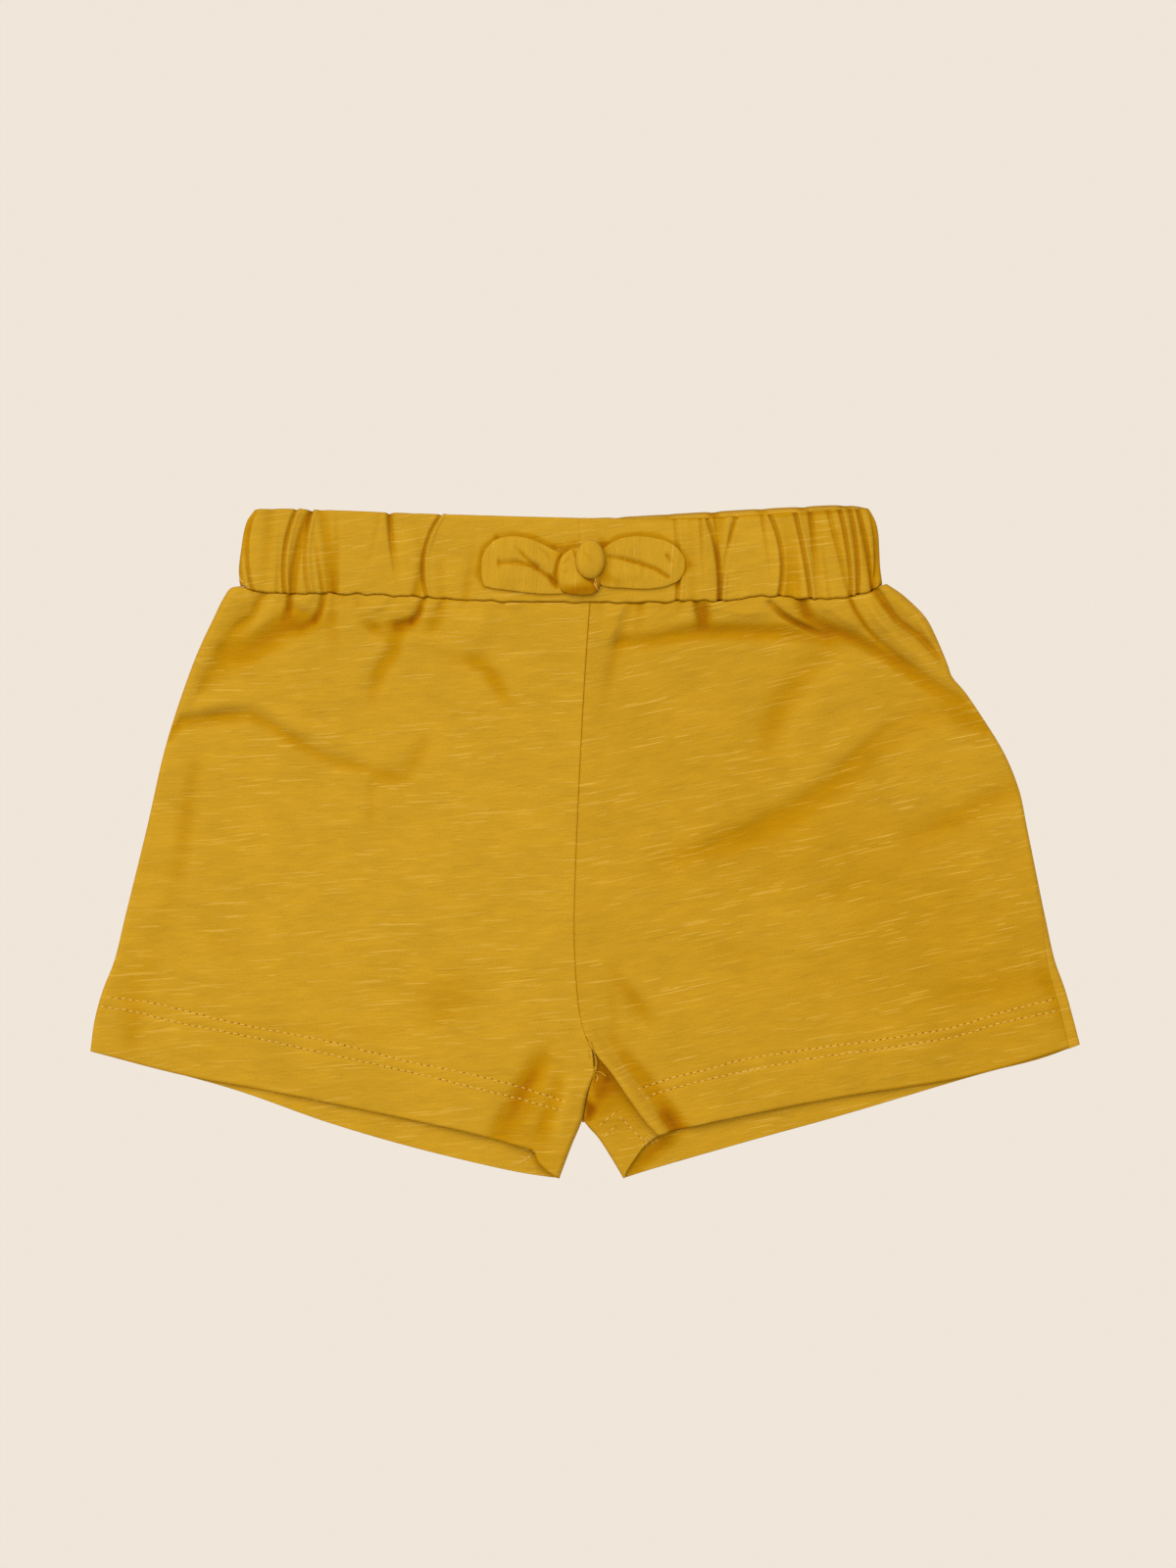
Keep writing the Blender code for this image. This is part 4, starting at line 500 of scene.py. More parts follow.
# Smaller gathers of the waistband
BAND_FRONT_FINE = (
    BandFold(-97.4, -97.6, 0.6, 1.1, 0.9, 0.9, -2.2),
    BandFold(-98.6, -99.4, 0.6, -0.4, 0.5, 0.7, -1.6),
    BandFold(-84.9, -88.2, 0.6, 1.2, 1, 1, -1.8),
    BandFold(-83.9, -87.2, 0.6, -0.5, 0.9, 0.9, -1.8),
    BandFold(-89.4, -90.6, 0.6, 0.5, 0, 1),
    BandFold(-80.4, -81.2, 0.5, 1.1, 0.9, 0.6, -1.6),
    BandFold(-79.4, -80, 0.6, -0.7, 0.8, 0.8, -1.6),
    BandFold(-80.6, -77, 0.55, 0.9, 0, 1),
    BandFold(-75.4, -73.8, 0.7, 0.5, 0.3, 0.8),
    BandFold(-60, -65, 0.9, 0.35, 0.8, 0),
    BandFold(-57.6, -54.6, 0.5, 1, 1, 0, -0.6),
    BandFold(-42.4, -46.4, 0.5, 1.2, 0.9, 1, -3),
    BandFold(-41.4, -45.4, 0.6, -0.5, 0.9, 0.8, -3),
    BandFold(-1.4, -0.4, 0.5, 0.3, 0.7, 0.4),
    BandFold(26.6, 27.3, 0.55, 1, 0.5, 1, 0.6),
    BandFold(27.9, 28.6, 0.6, -0.35, 0.5, 0.9, 0.6),
    BandFold(34.2, 35.6, 0.5, 0.7, 1, 0.1),
    BandFold(35.2, 36.4, 0.6, -0.4, 0.9, 0.1),
    BandFold(36, 39.7, 0.55, 1.3, 0.9, 1, 1.4),
    BandFold(44.8, 40.2, 0.6, 1.1, 1, 0.5, -1),
    BandFold(42.4, 40.9, 0.7, -0.6, 0.4, 1),
    BandFold(38.4, 39.6, 0.5, 0.6, 1, 0.4, 0.3),
    BandFold(52.2, 56, 0.5, 0.7, 1, 0),
    BandFold(54.4, 57.3, 0.6, 1.2, 1, 1, 2.2),
    BandFold(53.4, 56.3, 0.7, -0.4, 0.9, 0.8, 2.2),
    BandFold(61.2, 63.4, 0.8, 0.5, 0, 1),
    BandFold(61.9, 66.7, 0.55, 1.4, 0.9, 1, 0.4),
    BandFold(63, 67.7, 0.6, -0.6, 0.8, 1, 0.4),
    BandFold(68.8, 72.4, 0.6, 0.5, 0.2, 0.9),
    BandFold(70.9, 77.6, 0.6, -0.6, 0.9, 0.8, 0),
    BandFold(75, 78.5, 0.5, 1.2, 1, 0.9, 0.9),
    BandFold(76.2, 79.4, 0.5, -0.6, 0.9, 0.7, 0.9),
    BandFold(78, 80.6, 0.5, 1.1, 0.9, 0.8, 1),
    BandFold(66.4, 69, 0.5, 0.9, 1, 0),
    BandFold(79.2, 81.4, 0.5, -0.5, 0.9, 0.6, 0.8),
    BandFold(80.4, 85, 0.55, 1.2, 0.9, 1, 0.6),
    BandFold(84.2, 85.4, 0.6, 1.1, 0.6, 1, 1.2),
)

# Twin-needle rows of the front hems, from above: rows of x, y
HEM_UPPER_LEFT = (
    (-141.6, -45.9), (-128.9, -47.4), (-105.1, -53.2), (-77, -58.7), (-51.2, -65.1), (-35.2, -68.3),
    (-20.4, -72.1), (-5, -77),
)
HEM_LOWER_LEFT = (
    (-143.4, -48.6), (-132.4, -50.3), (-121.1, -53.2), (-97, -57.9), (-72.4, -63.4), (-51.2, -68),
    (-35.8, -71.8), (-18.7, -76.1), (-6, -79.6),
)
HEM_UPPER_RIGHT = (
    (15.4, -73.3), (26, -69.7), (35.8, -67.4), (47.4, -64.2), (68.6, -61), (107.2, -55.2), (124.8, -50),
    (138.6, -46.5),
)
HEM_LOWER_RIGHT = (
    (17.6, -75.9), (22.8, -73.8), (35.8, -70.3), (47.4, -67.7), (68.6, -63.7), (89.5, -60.8), (109.2, -57.6),
    (121.9, -53.8), (139.6, -49.9),
)

# Hem
HEM_RISE = 0.3  # of the doubled cloth
HEM_STEP = 0.8  # over which it rises
ROW_DEPTH = 0.24  # groove of a row of stitches
ROW_WIDTH = 0.55
HEM_EDGE_DROP = 0.3  # how far a hem's folded edge rounds off
HEM_EDGE_WIDTH = 0.7
HEM_INSETS = (16.4, 13.4)  # rows of the back hems, from the edge

# Creases of the bow's pieces, in the same form
LEFT_CREASES = (
    Fold(((-25.2, 82.2), (-20, 82.4), (-16, 81.4), (-13, 79.8), (-10.4, 77.9), (-8.6, 76.2)),
          0.5, -1.3, 0.6, 0.9),
    Fold(((-10, 78.4), (-9.4, 76)), 0.6, -0.45, 1, 0.8),
    Fold(((-19.9, 86.6), (-18.2, 84.6), (-15.6, 82.2), (-13.8, 80.8)), 0.45, -1, 0.3, 1),
    Fold(((-25.3, 84.2), (-25, 82), (-25.1, 78.6)), 0.5, -0.45, 0.5),
    Fold(((-13.2, 86.6), (-11, 84.6), (-9, 81.2)), 0.45, -0.5, 0.5),
    Fold(((-4.6, 86.4), (-6.6, 84.6), (-8, 82), (-8.6, 78.8), (-8.2, 75)), 0.6, -0.7, 1, 0.8),
    Fold(((-24, 78.4), (-17, 78.4), (-12, 76.4)), 2.2, 0.4, 0.5),
    Fold(((-16, 84), (-12, 82), (-9.6, 80)), 0.9, 0.5, 0.5, 0.5),
    Fold(((-24, 86), (-20, 88)), 2, 0.3, 0.5),
)
RIGHT_CREASES = (
    Fold(((7, 84), (11, 83.4), (16.5, 81.9), (21, 80.3), (24.7, 77.9)), 0.5, -1.3, 0.5, 0.9),
    Fold(((24.4, 84.3), (25.5, 82.5)), 0.55, -0.9, 1, 0.8),
    Fold(((17.2, 80.4), (17, 76.6)), 0.5, -0.3, 0.8),
    Fold(((10, 86.6), (16, 86.4), (22, 84.4)), 2.2, 0.4, 0.5),
    Fold(((9, 79), (15, 78.8), (21, 77.4)), 1.8, 0.6, 0.5),
)
WRAP_CREASES = (
    Fold(((-3.4, 86.4), (-1.8, 83.4), (-1.4, 80.2), (0.4, 78), (3, 76.4)), 0.6, -1.2, 0.8, 0.8),
    Fold(((-6.4, 81.6), (-4.6, 83.2), (-2.6, 84)), 0.4, -0.4, 0.6),
    Fold(((-6.6, 79.4), (-3.6, 79)), 0.4, -0.3, 0.6),
    Fold(((-5, 76.4), (-1, 75.6)), 1.4, 0.4, 0.5),
)
KNOT_CREASES = (
    Fold(((-1.4, 86), (1, 84), (3.6, 80.2)), 0.8, -0.14, 0.5),
    Fold(((0.6, 87.6), (3.4, 84.6)), 0.8, -0.1, 0.5),
)

# Stitches. STRIP_ROWS are those on the strip at the right inner leg.
RAY_START = 0.05  # metres over or under the surface, from where a stitch's place is looked for
STITCH_PITCH = 2.1
STITCH_LENGTH = 1.2
STITCH_RADIUS = 0.19
STITCH_LIFTS = (-1.6, 0.1, 0.55, 0.7, 0.55, 0.1, -1.6)  # of its points, in radii
STITCH_STEEPEST = 0.7  # least upward part of the cloth's normal under a stitch
STITCH_WOBBLE = 0.1  # how far a row wavers, and how fast from stitch to stitch
STITCH_WOBBLE_STEP = 2.3
TUBE_END = 0.55  # share of its radius that a tube has at its ends
HOLE_DEPTH = 0.04
HOLE_BULGE = 0.09
HOLE_SIZE = 0.34
Edge = namedtuple("Edge", "path radius")
STRIP_ROWS = (
    ((3.9, -84.2), (6.6, -82), (9.4, -79.9)),
    ((5.6, -87.4), (7.4, -85.8), (9.2, -84.2)),
    ((10, -80.8), (14.2, -85), (17.6, -88.4)),
)

# Loose thread ends, and the narrow edges that show at the crotch
THREAD_RADIUS = 0.13
LOOSE_THREADS = (
    ((3, 77.8), (3.4, 76.4), (3.3, 75.4), (4.2, 73.8)),
    ((3.2, 77.2), (2.9, 76), (3.6, 74.9)),
    ((-21.6, -95.2), (-19.4, -95), (-17.4, -94), (-15.8, -92.4), (-14.8, -90.8)),
    ((-19, -93), (-17.2, -93.6), (-15.6, -93.2)),
    ((3.3, -68.6), (3.9, -69.6), (3.5, -70.8)),
    ((18.2, -87), (19.6, -88.2), (20.2, -89.6)),
    ((19, -86.6), (20.8, -87.6), (21.8, -88.8)),
    ((17.6, -87.6), (18.4, -88.8), (18.2, -90.2)),
    ((-100.6, 76.4), (-101.6, 77.6), (-101.5, 79)),
)
SEAM_EDGES = (
    Edge(((1.2, -58.6), (2.6, -61.6), (3.4, -64.6), (3.2, -67.6)), 0.5),
    Edge(((3.4, -67.9), (4.8, -68.1), (6.4, -69.3)), 0.3),
)
SEAM_TAIL = ((2.3, -69.6), (1.6, -73), (0.75, -76), (0.2, -79.2), (-0.3, -82), (-0.5, -83))
SEAM_TAIL_RADIUS = 0.5
SEAM_EDGE_SINK = 0.6  # share of an edge's radius by which it sinks in

# Colours, linear. A tint of painted shade is a share of the dye's colour, with the values of painted shade
# between which it comes in.
MUSTARD = (0.555, 0.292, 0.0125)
# the right panels' colour is the dye darkened a little: painted shade over the right leg
MUSTARD_RIGHT_PAINTED_SHADE = (0.535, 0.278, 0.0108)
MUSTARD_BOW = (0.55, 0.29, 0.0125)
SLUB_COLOUR = (0.74, 0.44, 0.065, 1.0)
THREAD = (0.74, 0.45, 0.065)
# painted shadow in the needle holes
NEEDLE_HOLE_SHADOW = (0.25, 0.105, 0.003)
HEIGHT_SHARE = 0.2  # of a height in the distance across the courses
WANDER = 3.6  # how far the courses wander
WANDER_SCALE = 0.022
SLUB_SHIFT = 7.3  # most that a row of cells is shifted, in cells
SLUB_HALF = (0.14, 0.30)  # least half length of a streak in its cell, and what chance adds
SLUB_STRENGTH = (0.2, 0.6)  # least strength, and what chance adds
PAINTED_SHADE_TINTS = (
    ((0.87, 0.78, 0.22), 0.0, 0.45),
    ((0.70, 0.50, 0.08), 0.4, 1.0),
    ((0.52, 0.32, 0.04), 1.0, PAINTED_SHADE_MOST),
)

# Grid counts
SIDE_COLUMNS = 12
INNER_COLUMNS = 12
EDGE_CROWDING = 1.5
BACK_CROWDING = 1.4
WAIST_CROWDING = 1.1
CROTCH_CROWDING = 0.35
HEM_CROWDING = 1.25
SIDEWARD = 1.1
FRONT_COLUMNS = 138
FRONT_ROWS = (176, 54)
BACK_COLUMNS = 84
BACK_ROWS = (110, 44)
STRIP_TURN_COLUMNS = 10
STRIP_FLAT_COLUMNS = 26
BAND_STATIONS = 520
BAND_END_STATIONS = 44
BAND_ROWS = 34
BAND_INNER_ROWS = 12
BOW_SIDES = 72
BOW_RINGS = 90
CURVE_STEPS = 12
ROW_SAMPLES = 181


def smoothstep(t):
    t = np.clip(t, 0.0, 1.0)
    return t * t * (3.0 - 2.0 * t)


def fading(t):
    return 1.0 - smoothstep(t)


# painted shade, as a share, from a depth in millimetres
def painted_shade_of(depth, least=0.0):
    return np.clip(depth / PAINTED_SHADE_DEPTH, least, PAINTED_SHADE_MOST)


def curve(points):
    """A smooth curve through the points, as a function of the share of its length."""
    p = np.array(points, float)
    p = np.vstack([2.0 * p[0] - p[1], p, 2.0 * p[-1] - p[-2]])
    knots = np.concatenate([[0.0], np.cumsum(np.sqrt(np.linalg.norm(np.diff(p, axis=0), axis=1)))])
    line = []
    for k in range(1, len(p) - 2):
        t0, t1, t2, t3 = knots[k - 1 : k + 3]
        t = np.linspace(t1, t2, CURVE_STEPS, endpoint=False)[:, None]
        a = ((t1 - t) * p[k - 1] + (t - t0) * p[k]) / (t1 - t0)
        b = ((t2 - t) * p[k] + (t - t1) * p[k + 1]) / (t2 - t1)
        c = ((t3 - t) * p[k + 1] + (t - t2) * p[k + 2]) / (t3 - t2)
        ab = ((t2 - t) * a + (t - t0) * b) / (t2 - t0)
        bc = ((t3 - t) * b + (t - t1) * c) / (t3 - t1)
        line.append(((t2 - t) * ab + (t - t1) * bc) / (t2 - t1))
    line = np.vstack(line + [p[-2]])
    along = np.concatenate([[0.0], np.cumsum(np.linalg.norm(np.diff(line, axis=0), axis=1))])
    along /= along[-1]
    return lambda t: np.stack([np.interp(t, along, line[:, i]) for i in range(2)], axis=-1)


def joined(first, second, corner):
    """Two curves end to end. The first takes the share up to the corner."""

    def point(t):
        t = np.asarray(t, float)
        before = first(np.clip(t / corner, 0.0, 1.0))
        after = second(np.clip((t - corner) / (1.0 - corner), 0.0, 1.0))
        return np.where((t < corner)[..., None], before, after)

    return point


def moved(line, x, y=0.0):
    return lambda t: line(t) + np.array([x, y])


def part_of(line, start, end):
    return lambda t: line(start + np.asarray(t, float) * (end - start))


def between(table, column, down):
    """Smooth interpolation of a table's column by its first column."""
    knots = np.array([row[0] for row in table])
    values = np.array([getattr(row, column) for row in table])
    slopes = np.gradient(values, knots)
    down = np.clip(np.asarray(down, float), knots[0], knots[-1])
    k = np.clip(np.searchsorted(knots, down, side="right") - 1, 0, len(knots) - 2)
    step = knots[k + 1] - knots[k]
    t = (down - knots[k]) / step
    start = values[k] * (1.0 + 2.0 * t) * (1.0 - t) ** 2 + slopes[k] * step * t * (1.0 - t) ** 2
    end = values[k + 1] * t * t * (3.0 - 2.0 * t) + slopes[k + 1] * step * t * t * (t - 1.0)
    return start + end


class Patch:
    """A panel's plan between four curves. across runs from the side (0) to the inner line (1)."""

    def __init__(self, waist, hem, side, inner):
        self.waist, self.hem, self.side, self.inner = waist, hem, side, inner

    def point(self, across, down):
        a, d = np.asarray(across, float)[..., None], np.asarray(down, float)[..., None]
        corners = (1 - a) * (1 - d) * self.side(0.0) + a * (1 - d) * self.inner(0.0)
        corners = corners + (1 - a) * d * self.side(1.0) + a * d * self.inner(1.0)
        rows = (1 - d) * self.waist(across) + d * self.hem(across)
        columns = (1 - a) * self.side(down) + a * self.inner(down)
        return rows + columns - corners

    def row(self, down):
        """Shares across the panel on one row, and their distances from the side."""
        across = np.linspace(0.0, 1.0, ROW_SAMPLES)
        points = self.point(across, np.full(ROW_SAMPLES, down))
        steps = np.linalg.norm(np.diff(points, axis=0), axis=1)
        return across, np.concatenate([[0.0], np.cumsum(steps)])


def waves(seed, count, shortest, longest):
    """Evenly mixed waves of random direction: rows of kx, ky, phase."""
    dice = np.random.default_rng(seed)
    length = shortest * (longest / shortest) ** dice.random(count)
    angle, phase = dice.random((2, count)) * 2 * np.pi
    return np.stack([2 * np.pi / length * np.cos(angle), 2 * np.pi / length * np.sin(angle), phase])


def unevenness(wave, x, y):
    """Soft noise of about unit height."""
    kx, ky, phase = wave
    x, y = np.asarray(x)[..., None], np.asarray(y)[..., None]
    return np.sin(kx * x + ky * y + phase).sum(axis=-1) * np.sqrt(2.0 / kx.size) / 1.4


BROAD_WAVES = waves(11, 14, 16.0, 46.0)
SMALL_WAVES = waves(23, 22, 4.0, 10.0)


def nearest_on(path, x, y):
    """Distance to a path of straight steps, and the share of its length there."""
    path = np.array(path)
    steps = np.linalg.norm(np.diff(path, axis=0), axis=1)
    starts = np.concatenate([[0.0], np.cumsum(steps)])
    nearest = np.full(np.shape(x), np.inf)
    along = np.zeros(np.shape(x))
    for k, step in enumerate(steps):
        direction = (path[k + 1] - path[k]) / step
        t = np.clip((x - path[k, 0]) * direction[0] + (y - path[k, 1]) * direction[1], 0.0, step)
        gap = np.hypot(x - path[k, 0] - t * direction[0], y - path[k, 1] - t * direction[1])
        along = np.where(gap < nearest, starts[k] + t, along)
        nearest = np.minimum(gap, nearest)
    return nearest, along / starts[-1]


def fold_sum(folds, x, y):
    total = np.zeros(np.shape(x))
    for fold in folds:
        nearest, t = nearest_on(fold.path, x, y)
        grown = fold.head + (1.0 - fold.head) * smoothstep(t / FOLD_GROWTH)
        shrunk = 1.0 - (1.0 - fold.tail) * smoothstep((t - FOLD_DECLINE) / (1.0 - FOLD_DECLINE))
        total += fold.height * grown * shrunk * np.exp(-((nearest / fold.width) ** 2))
    return total


def hem_relief(rows, x, y):
    """The doubled cloth of a hem below its upper row, and the grooves of its rows."""
    upper = np.interp(x, *np.array(rows[0]).T)
    total = HEM_RISE * smoothstep((upper - y) / HEM_STEP + 0.5)
    for row in rows:
        nearest, _ = nearest_on(row, x, y)
        total -= ROW_DEPTH * np.exp(-((nearest / ROW_WIDTH) ** 2))
    return total


def front_height(across, down, x, y, folds):
    """Outer face of a front panel, over the surface. It rests on the back panel in the deepest folds."""
    side, middle, centre = (between(FRONT_HEIGHTS, name, down) for name in ("side", "middle", "centre"))
    broad = side * (1 - across) * (1 - 2 * across) + middle * 4 * across * (1 - across)
    broad = broad + centre * across * (2 * across - 1)
    height = broad + folds
    height += BROAD_WAVE * unevenness(BROAD_WAVES, x, y) + SMALL_WAVE * unevenness(SMALL_WAVES, x, y)
    least = LEAST_HEIGHT + under_folds(x, y)
    over = height - least
    rounded = FLOOR_ROUNDING * np.exp(np.minimum(over, FLOOR_ROUNDING) / FLOOR_ROUNDING - 1.0)
    return least + np.where(over > FLOOR_ROUNDING, over, rounded)


def under_folds(x, y):
    """The gathers and creases of a back panel, which leave the surface."""
    drop = np.interp(x, *np.array(WAIST_BACK).T) - y
    total = fold_sum(BACK_FOLDS, x, y)
    for gather in BACK_GATHERS:
        t = drop / gather.reach
        line = gather.x + gather.lean * t
        total += gather.height * fading(t) * np.exp(-(((x - line) / gather.width) ** 2))
    return np.maximum(total, 0.0)


def under_height(x, y):
    """Outer face of a back panel, the underside."""
    total = under_folds(x, y) + UNDER_WAVE * np.maximum(unevenness(BROAD_WAVES, x, y), 0.0)
    for row in BACK_ROWS_OF_STITCHES:
        nearest, _ = nearest_on(row, x, y)
        total += ROW_DEPTH * np.exp(-((nearest / ROW_WIDTH) ** 2))
    return total


def turned(arc, radius):
    """Distance from the outline, and share of the rise, at an arc distance from a round fold's middle."""
    angle = np.clip(np.abs(arc) / radius, 0.0, 1.0) * np.pi / 2
    return np.where(np.abs(arc) < radius, radius * (1.0 - np.cos(angle)), np.abs(arc)), np.sin(angle)


def share_at(line, axis, value):
    """The share of a curve's length where one coordinate, which only grows or falls, has a value."""
    shares = np.linspace(0.0, 1.0, 400)
    along = line(shares)[:, axis]
    return np.interp(value, along, shares) if along[-1] > along[0] else np.interp(-value, -along, shares)


def half_of(line, x, rightwards):
    """The part of a left-to-right curve on one side of x, run from its outer end to x."""
    return part_of(line, 1.0 if rightwards else 0.0, share_at(line, 0, x))


def tucked_under(ridge):
    """Inner edge of the strip at the right inner leg, from the ridge's upper end to its place under it."""

    def point(t):
        under = smoothstep(np.asarray(t, float) / TUCK_SHARE)[..., None]
        return ridge(t) + under * STRIP_TUCK * np.array(TUCK_DIRECTION) + (1.0 - under) * np.array(STRIP_TIP)

    return point


def lower_shares(count):
    """Shares of the way from the crotch to the hem, closer together at the hem."""
    return 1.0 - (1.0 - np.linspace(0.0, 1.0, count)) ** HEM_CROWDING


def row_shares(counts):
    """Rows down a panel, closer together at the waist, the crotch and the hem, with one on the crotch."""
    above, below = counts
    t = np.linspace(0.0, 1.0, above)
    t = t - CROTCH_CROWDING * np.sin(2 * np.pi * t) / (2 * np.pi)
    return np.concatenate([CROTCH * t**WAIST_CROWDING, CROTCH + (1.0 - CROTCH) * lower_shares(below)[1:]])


def pucker(x):
    """How far the waist seam wavers up and down at x."""
    return PUCKER * unevenness(SMALL_WAVES, x, np.zeros(np.shape(x)))


def side_edge(down, seam_column, face):
    """Radius of the side fold, arc place of the panel's edge there, and height of the fold's middle.

    face is 1 for the front panel and -1 for the back panel. A seam on the fold's middle parts the two
    in height, and one that has come round to the front parts them along the cloth.
    """
    fold = between(SIDE_FOLDS, "height", down)
    seam = max(0.0, between(SIDE_FOLDS, seam_column, down))
    apart = min(SEAM_GAP / 2, seam)
    return fold, seam + face * apart, fold + face * FOLD_GAP * fading(seam / fold)


def front_panel(patch, seam_column, inner_fold, hem_rows):
    """Grid of a front panel's outer face. inner_fold: whether it turns under at the inner leg."""
    grid = []
    for down in row_shares(FRONT_ROWS):
        across, distance = patch.row(down)
        length = distance[-1]
        fold, start, lift = side_edge(down, seam_column, 1.0)
        below = smoothstep((down - CROTCH) / FRONT_TURN) if inner_fold else 0.0
        inner_radius = SEAM_DIP_WIDTH + (INNER_TURN - SEAM_DIP_WIDTH) * below
        arcs = start + fold * np.linspace(0.0, 1.0, SIDE_COLUMNS) ** EDGE_CROWDING
        ends = length - inner_radius * np.linspace(1.0, 0.0, INNER_COLUMNS) ** EDGE_CROWDING
        middle = arcs[-1] + (ends[0] - arcs[-1]) * np.linspace(0.0, 1.0, FRONT_COLUMNS)[1:-1] ** SIDEWARD
        arcs = np.concatenate([arcs, middle, ends])
        from_side, side_rise = turned(arcs, fold)
        from_inner, inner_rise = turned(length - arcs, inner_radius)
        place = np.where(arcs > length / 2, length - from_inner, from_side)
        share = np.interp(place, distance, across)
        plan = patch.point(share, np.full(share.shape, down))
        x, y = plan.T
        folds = fold_sum(FRONT_FOLDS, x, y) + fold_sum(FINE_FOLDS, x, y)
        height = front_height(share, down, x, y, folds)
        drop = np.hypot(*(plan - patch.waist(share)).T)
        height = np.minimum(height, BAND_TOP - WAIST_SINK + WAIST_SLOPE * drop)
        height += hem_relief(hem_rows, x, y) - SEAM_DIP * fading(drop / SEAM_DIP_WIDTH)
        y = y + pucker(x) * fading(drop / PUCKER_REACH)
        to_edge = np.hypot(*(plan - patch.hem(share)).T)
        height -= HEM_EDGE_DROP * fading(to_edge / HEM_EDGE_WIDTH)
        edge = height - SEAM_DIP + (INNER_FOLD_HEIGHT + FOLD_GAP - height + SEAM_DIP) * below
        height = edge + (height - edge) * inner_rise
        height = lift + (height - lift) * side_rise
        # painted shade: darker, redder colour along the seams, at the hem edge and at the places in
        # FRONT_SHADES, and in the valleys
        to_seam = np.minimum(drop, length - arcs + SEAM_SHADE_WIDTH * below)
        shades = fold_sum(FRONT_SHADES, x, y) + SEAM_SHADE * fading(to_seam / SEAM_SHADE_WIDTH)
        shades += HEM_SHADE * fading(to_edge / SEAM_SHADE_WIDTH)
        painted_shade = painted_shade_of(shades - folds)
        grid.append(np.stack([x, y, height, painted_shade], axis=-1))
    return np.array(grid)


def back_panel(patch, seam_column, inner_middle):
    """Grid of a back panel's outer face, from its side seam over the fold and along the underside."""
    grid = []
    for down in row_shares(BACK_ROWS):
        across, distance = patch.row(down)
        length = distance[-1]
        fold, start, lift = side_edge(down, seam_column, -1.0)
        below = smoothstep((down - CROTCH) / BACK_TURN + 0.5)
        inner_radius = SEAM_DIP_WIDTH + (inner_middle - SEAM_DIP_WIDTH) * below
        arcs = start - (start + fold) * np.linspace(0.0, 1.0, SIDE_COLUMNS + 6) ** BACK_CROWDING
        ends = -length + inner_radius * np.linspace(1.0, 0.0, INNER_COLUMNS) ** EDGE_CROWDING
        middle = np.linspace(arcs[-1], ends[0], BACK_COLUMNS)[1:-1]
        arcs = np.concatenate([arcs, middle, ends])
        from_side, side_rise = turned(arcs, fold)
        from_inner, inner_rise = turned(length + arcs, inner_radius)
        place = np.where(-arcs > length / 2, length - from_inner, from_side)
        share = np.interp(place, distance, across)
        x, y = patch.point(share, np.full(share.shape, down)).T
        edge = BACK_SEAM_LIFT + (inner_middle - BACK_SEAM_LIFT) * below
        under = edge + (under_height(x, y) - edge) * inner_rise
        face, front = under, arcs > 0.0
        if front.any():
            folds = fold_sum(FRONT_FOLDS, x[front], y[front])
            face[front] = front_height(share[front], down, x[front], y[front], folds)
        # painted shade in the underside's gathers, and, as negative values that count only on the side that
        # looks up, under the front hems
        depth = under_folds(x, y) - fold_sum(BACK_SHADES, x, y)
        painted_shade = painted_shade_of(depth, -PAINTED_SHADE_MOST) * (arcs < 0.0)
        grid.append(np.stack([x, y, lift + (face - lift) * side_rise, painted_shade], axis=-1))
    return np.array(grid)


def strip(outline, top, tucked, rim):
    """Grid of the back panel where it comes round the right inner leg, from the fold's middle on."""
    middle = STRIP_TOP / 2
    patch = Patch(top, rim, outline, tucked)
    grid = []
    for down in lower_shares(BACK_ROWS[1]):
        across, distance = patch.row(down)
        radius = min(middle, distance[-1] * STRIP_TURN_SHARE)
        turn = radius * np.linspace(0.0, 1.0, STRIP_TURN_COLUMNS)
        arcs = np.concatenate([turn, np.linspace(radius, distance[-1], STRIP_FLAT_COLUMNS)[1:]])
        place, rise = turned(arcs, radius)
        share = np.interp(place, distance, across)
        x, y = patch.point(share, np.full(share.shape, down)).T
        dents = fold_sum(STRIP_FOLDS, x, y)
        # painted shade in the strip's creases and at the places in STRIP_SHADES
        painted_shade = painted_shade_of(fold_sum(STRIP_SHADES, x, y) - dents)
        grid.append(np.stack([x, y, middle + (STRIP_TOP + dents - middle) * rise, painted_shade], axis=-1))
    return np.array(grid)


def add_object(name, points, faces, material, painted_shades=None):
    mesh = bpy.data.meshes.new(name)
    mesh.from_pydata([tuple(point) for point in np.array(points) * MM], [], faces)
    mesh.materials.append(material)
    # per-point painted shade, which the jersey material turns into darker, redder colour
    if painted_shades is not None:
        attribute = mesh.attributes.new("painted_shade", "FLOAT", "POINT")
        attribute.data.foreach_set("value", np.array(painted_shades, np.float32))
    obj = bpy.data.objects.new(name, mesh)
    bpy.context.scene.collection.objects.link(obj)
    return obj


def face_outward(obj, downward=None):
    """Makes the faces look one way: up or down for an open sheet, out for a closed body."""
    shape = bmesh.new()
    shape.from_mesh(obj.data)
    bmesh.ops.recalc_face_normals(shape, faces=shape.faces)
    if downward is None:
        wrong = shape.calc_volume(signed=True) < 0
    else:
        wrong = (sum(face.normal.z * face.calc_area() for face in shape.faces) > 0) == downward
    if wrong:
        bmesh.ops.reverse_faces(shape, faces=shape.faces)
    shape.to_mesh(obj.data)
    shape.free()
    obj.data.shade_smooth()


def grid_faces(rows, columns):
    """Quads of a grid whose points are numbered row by row."""
    starts = [r * columns + c for r in range(rows - 1) for c in range(columns - 1)]
    return [(s, s + 1, s + columns + 1, s + columns) for s in starts]


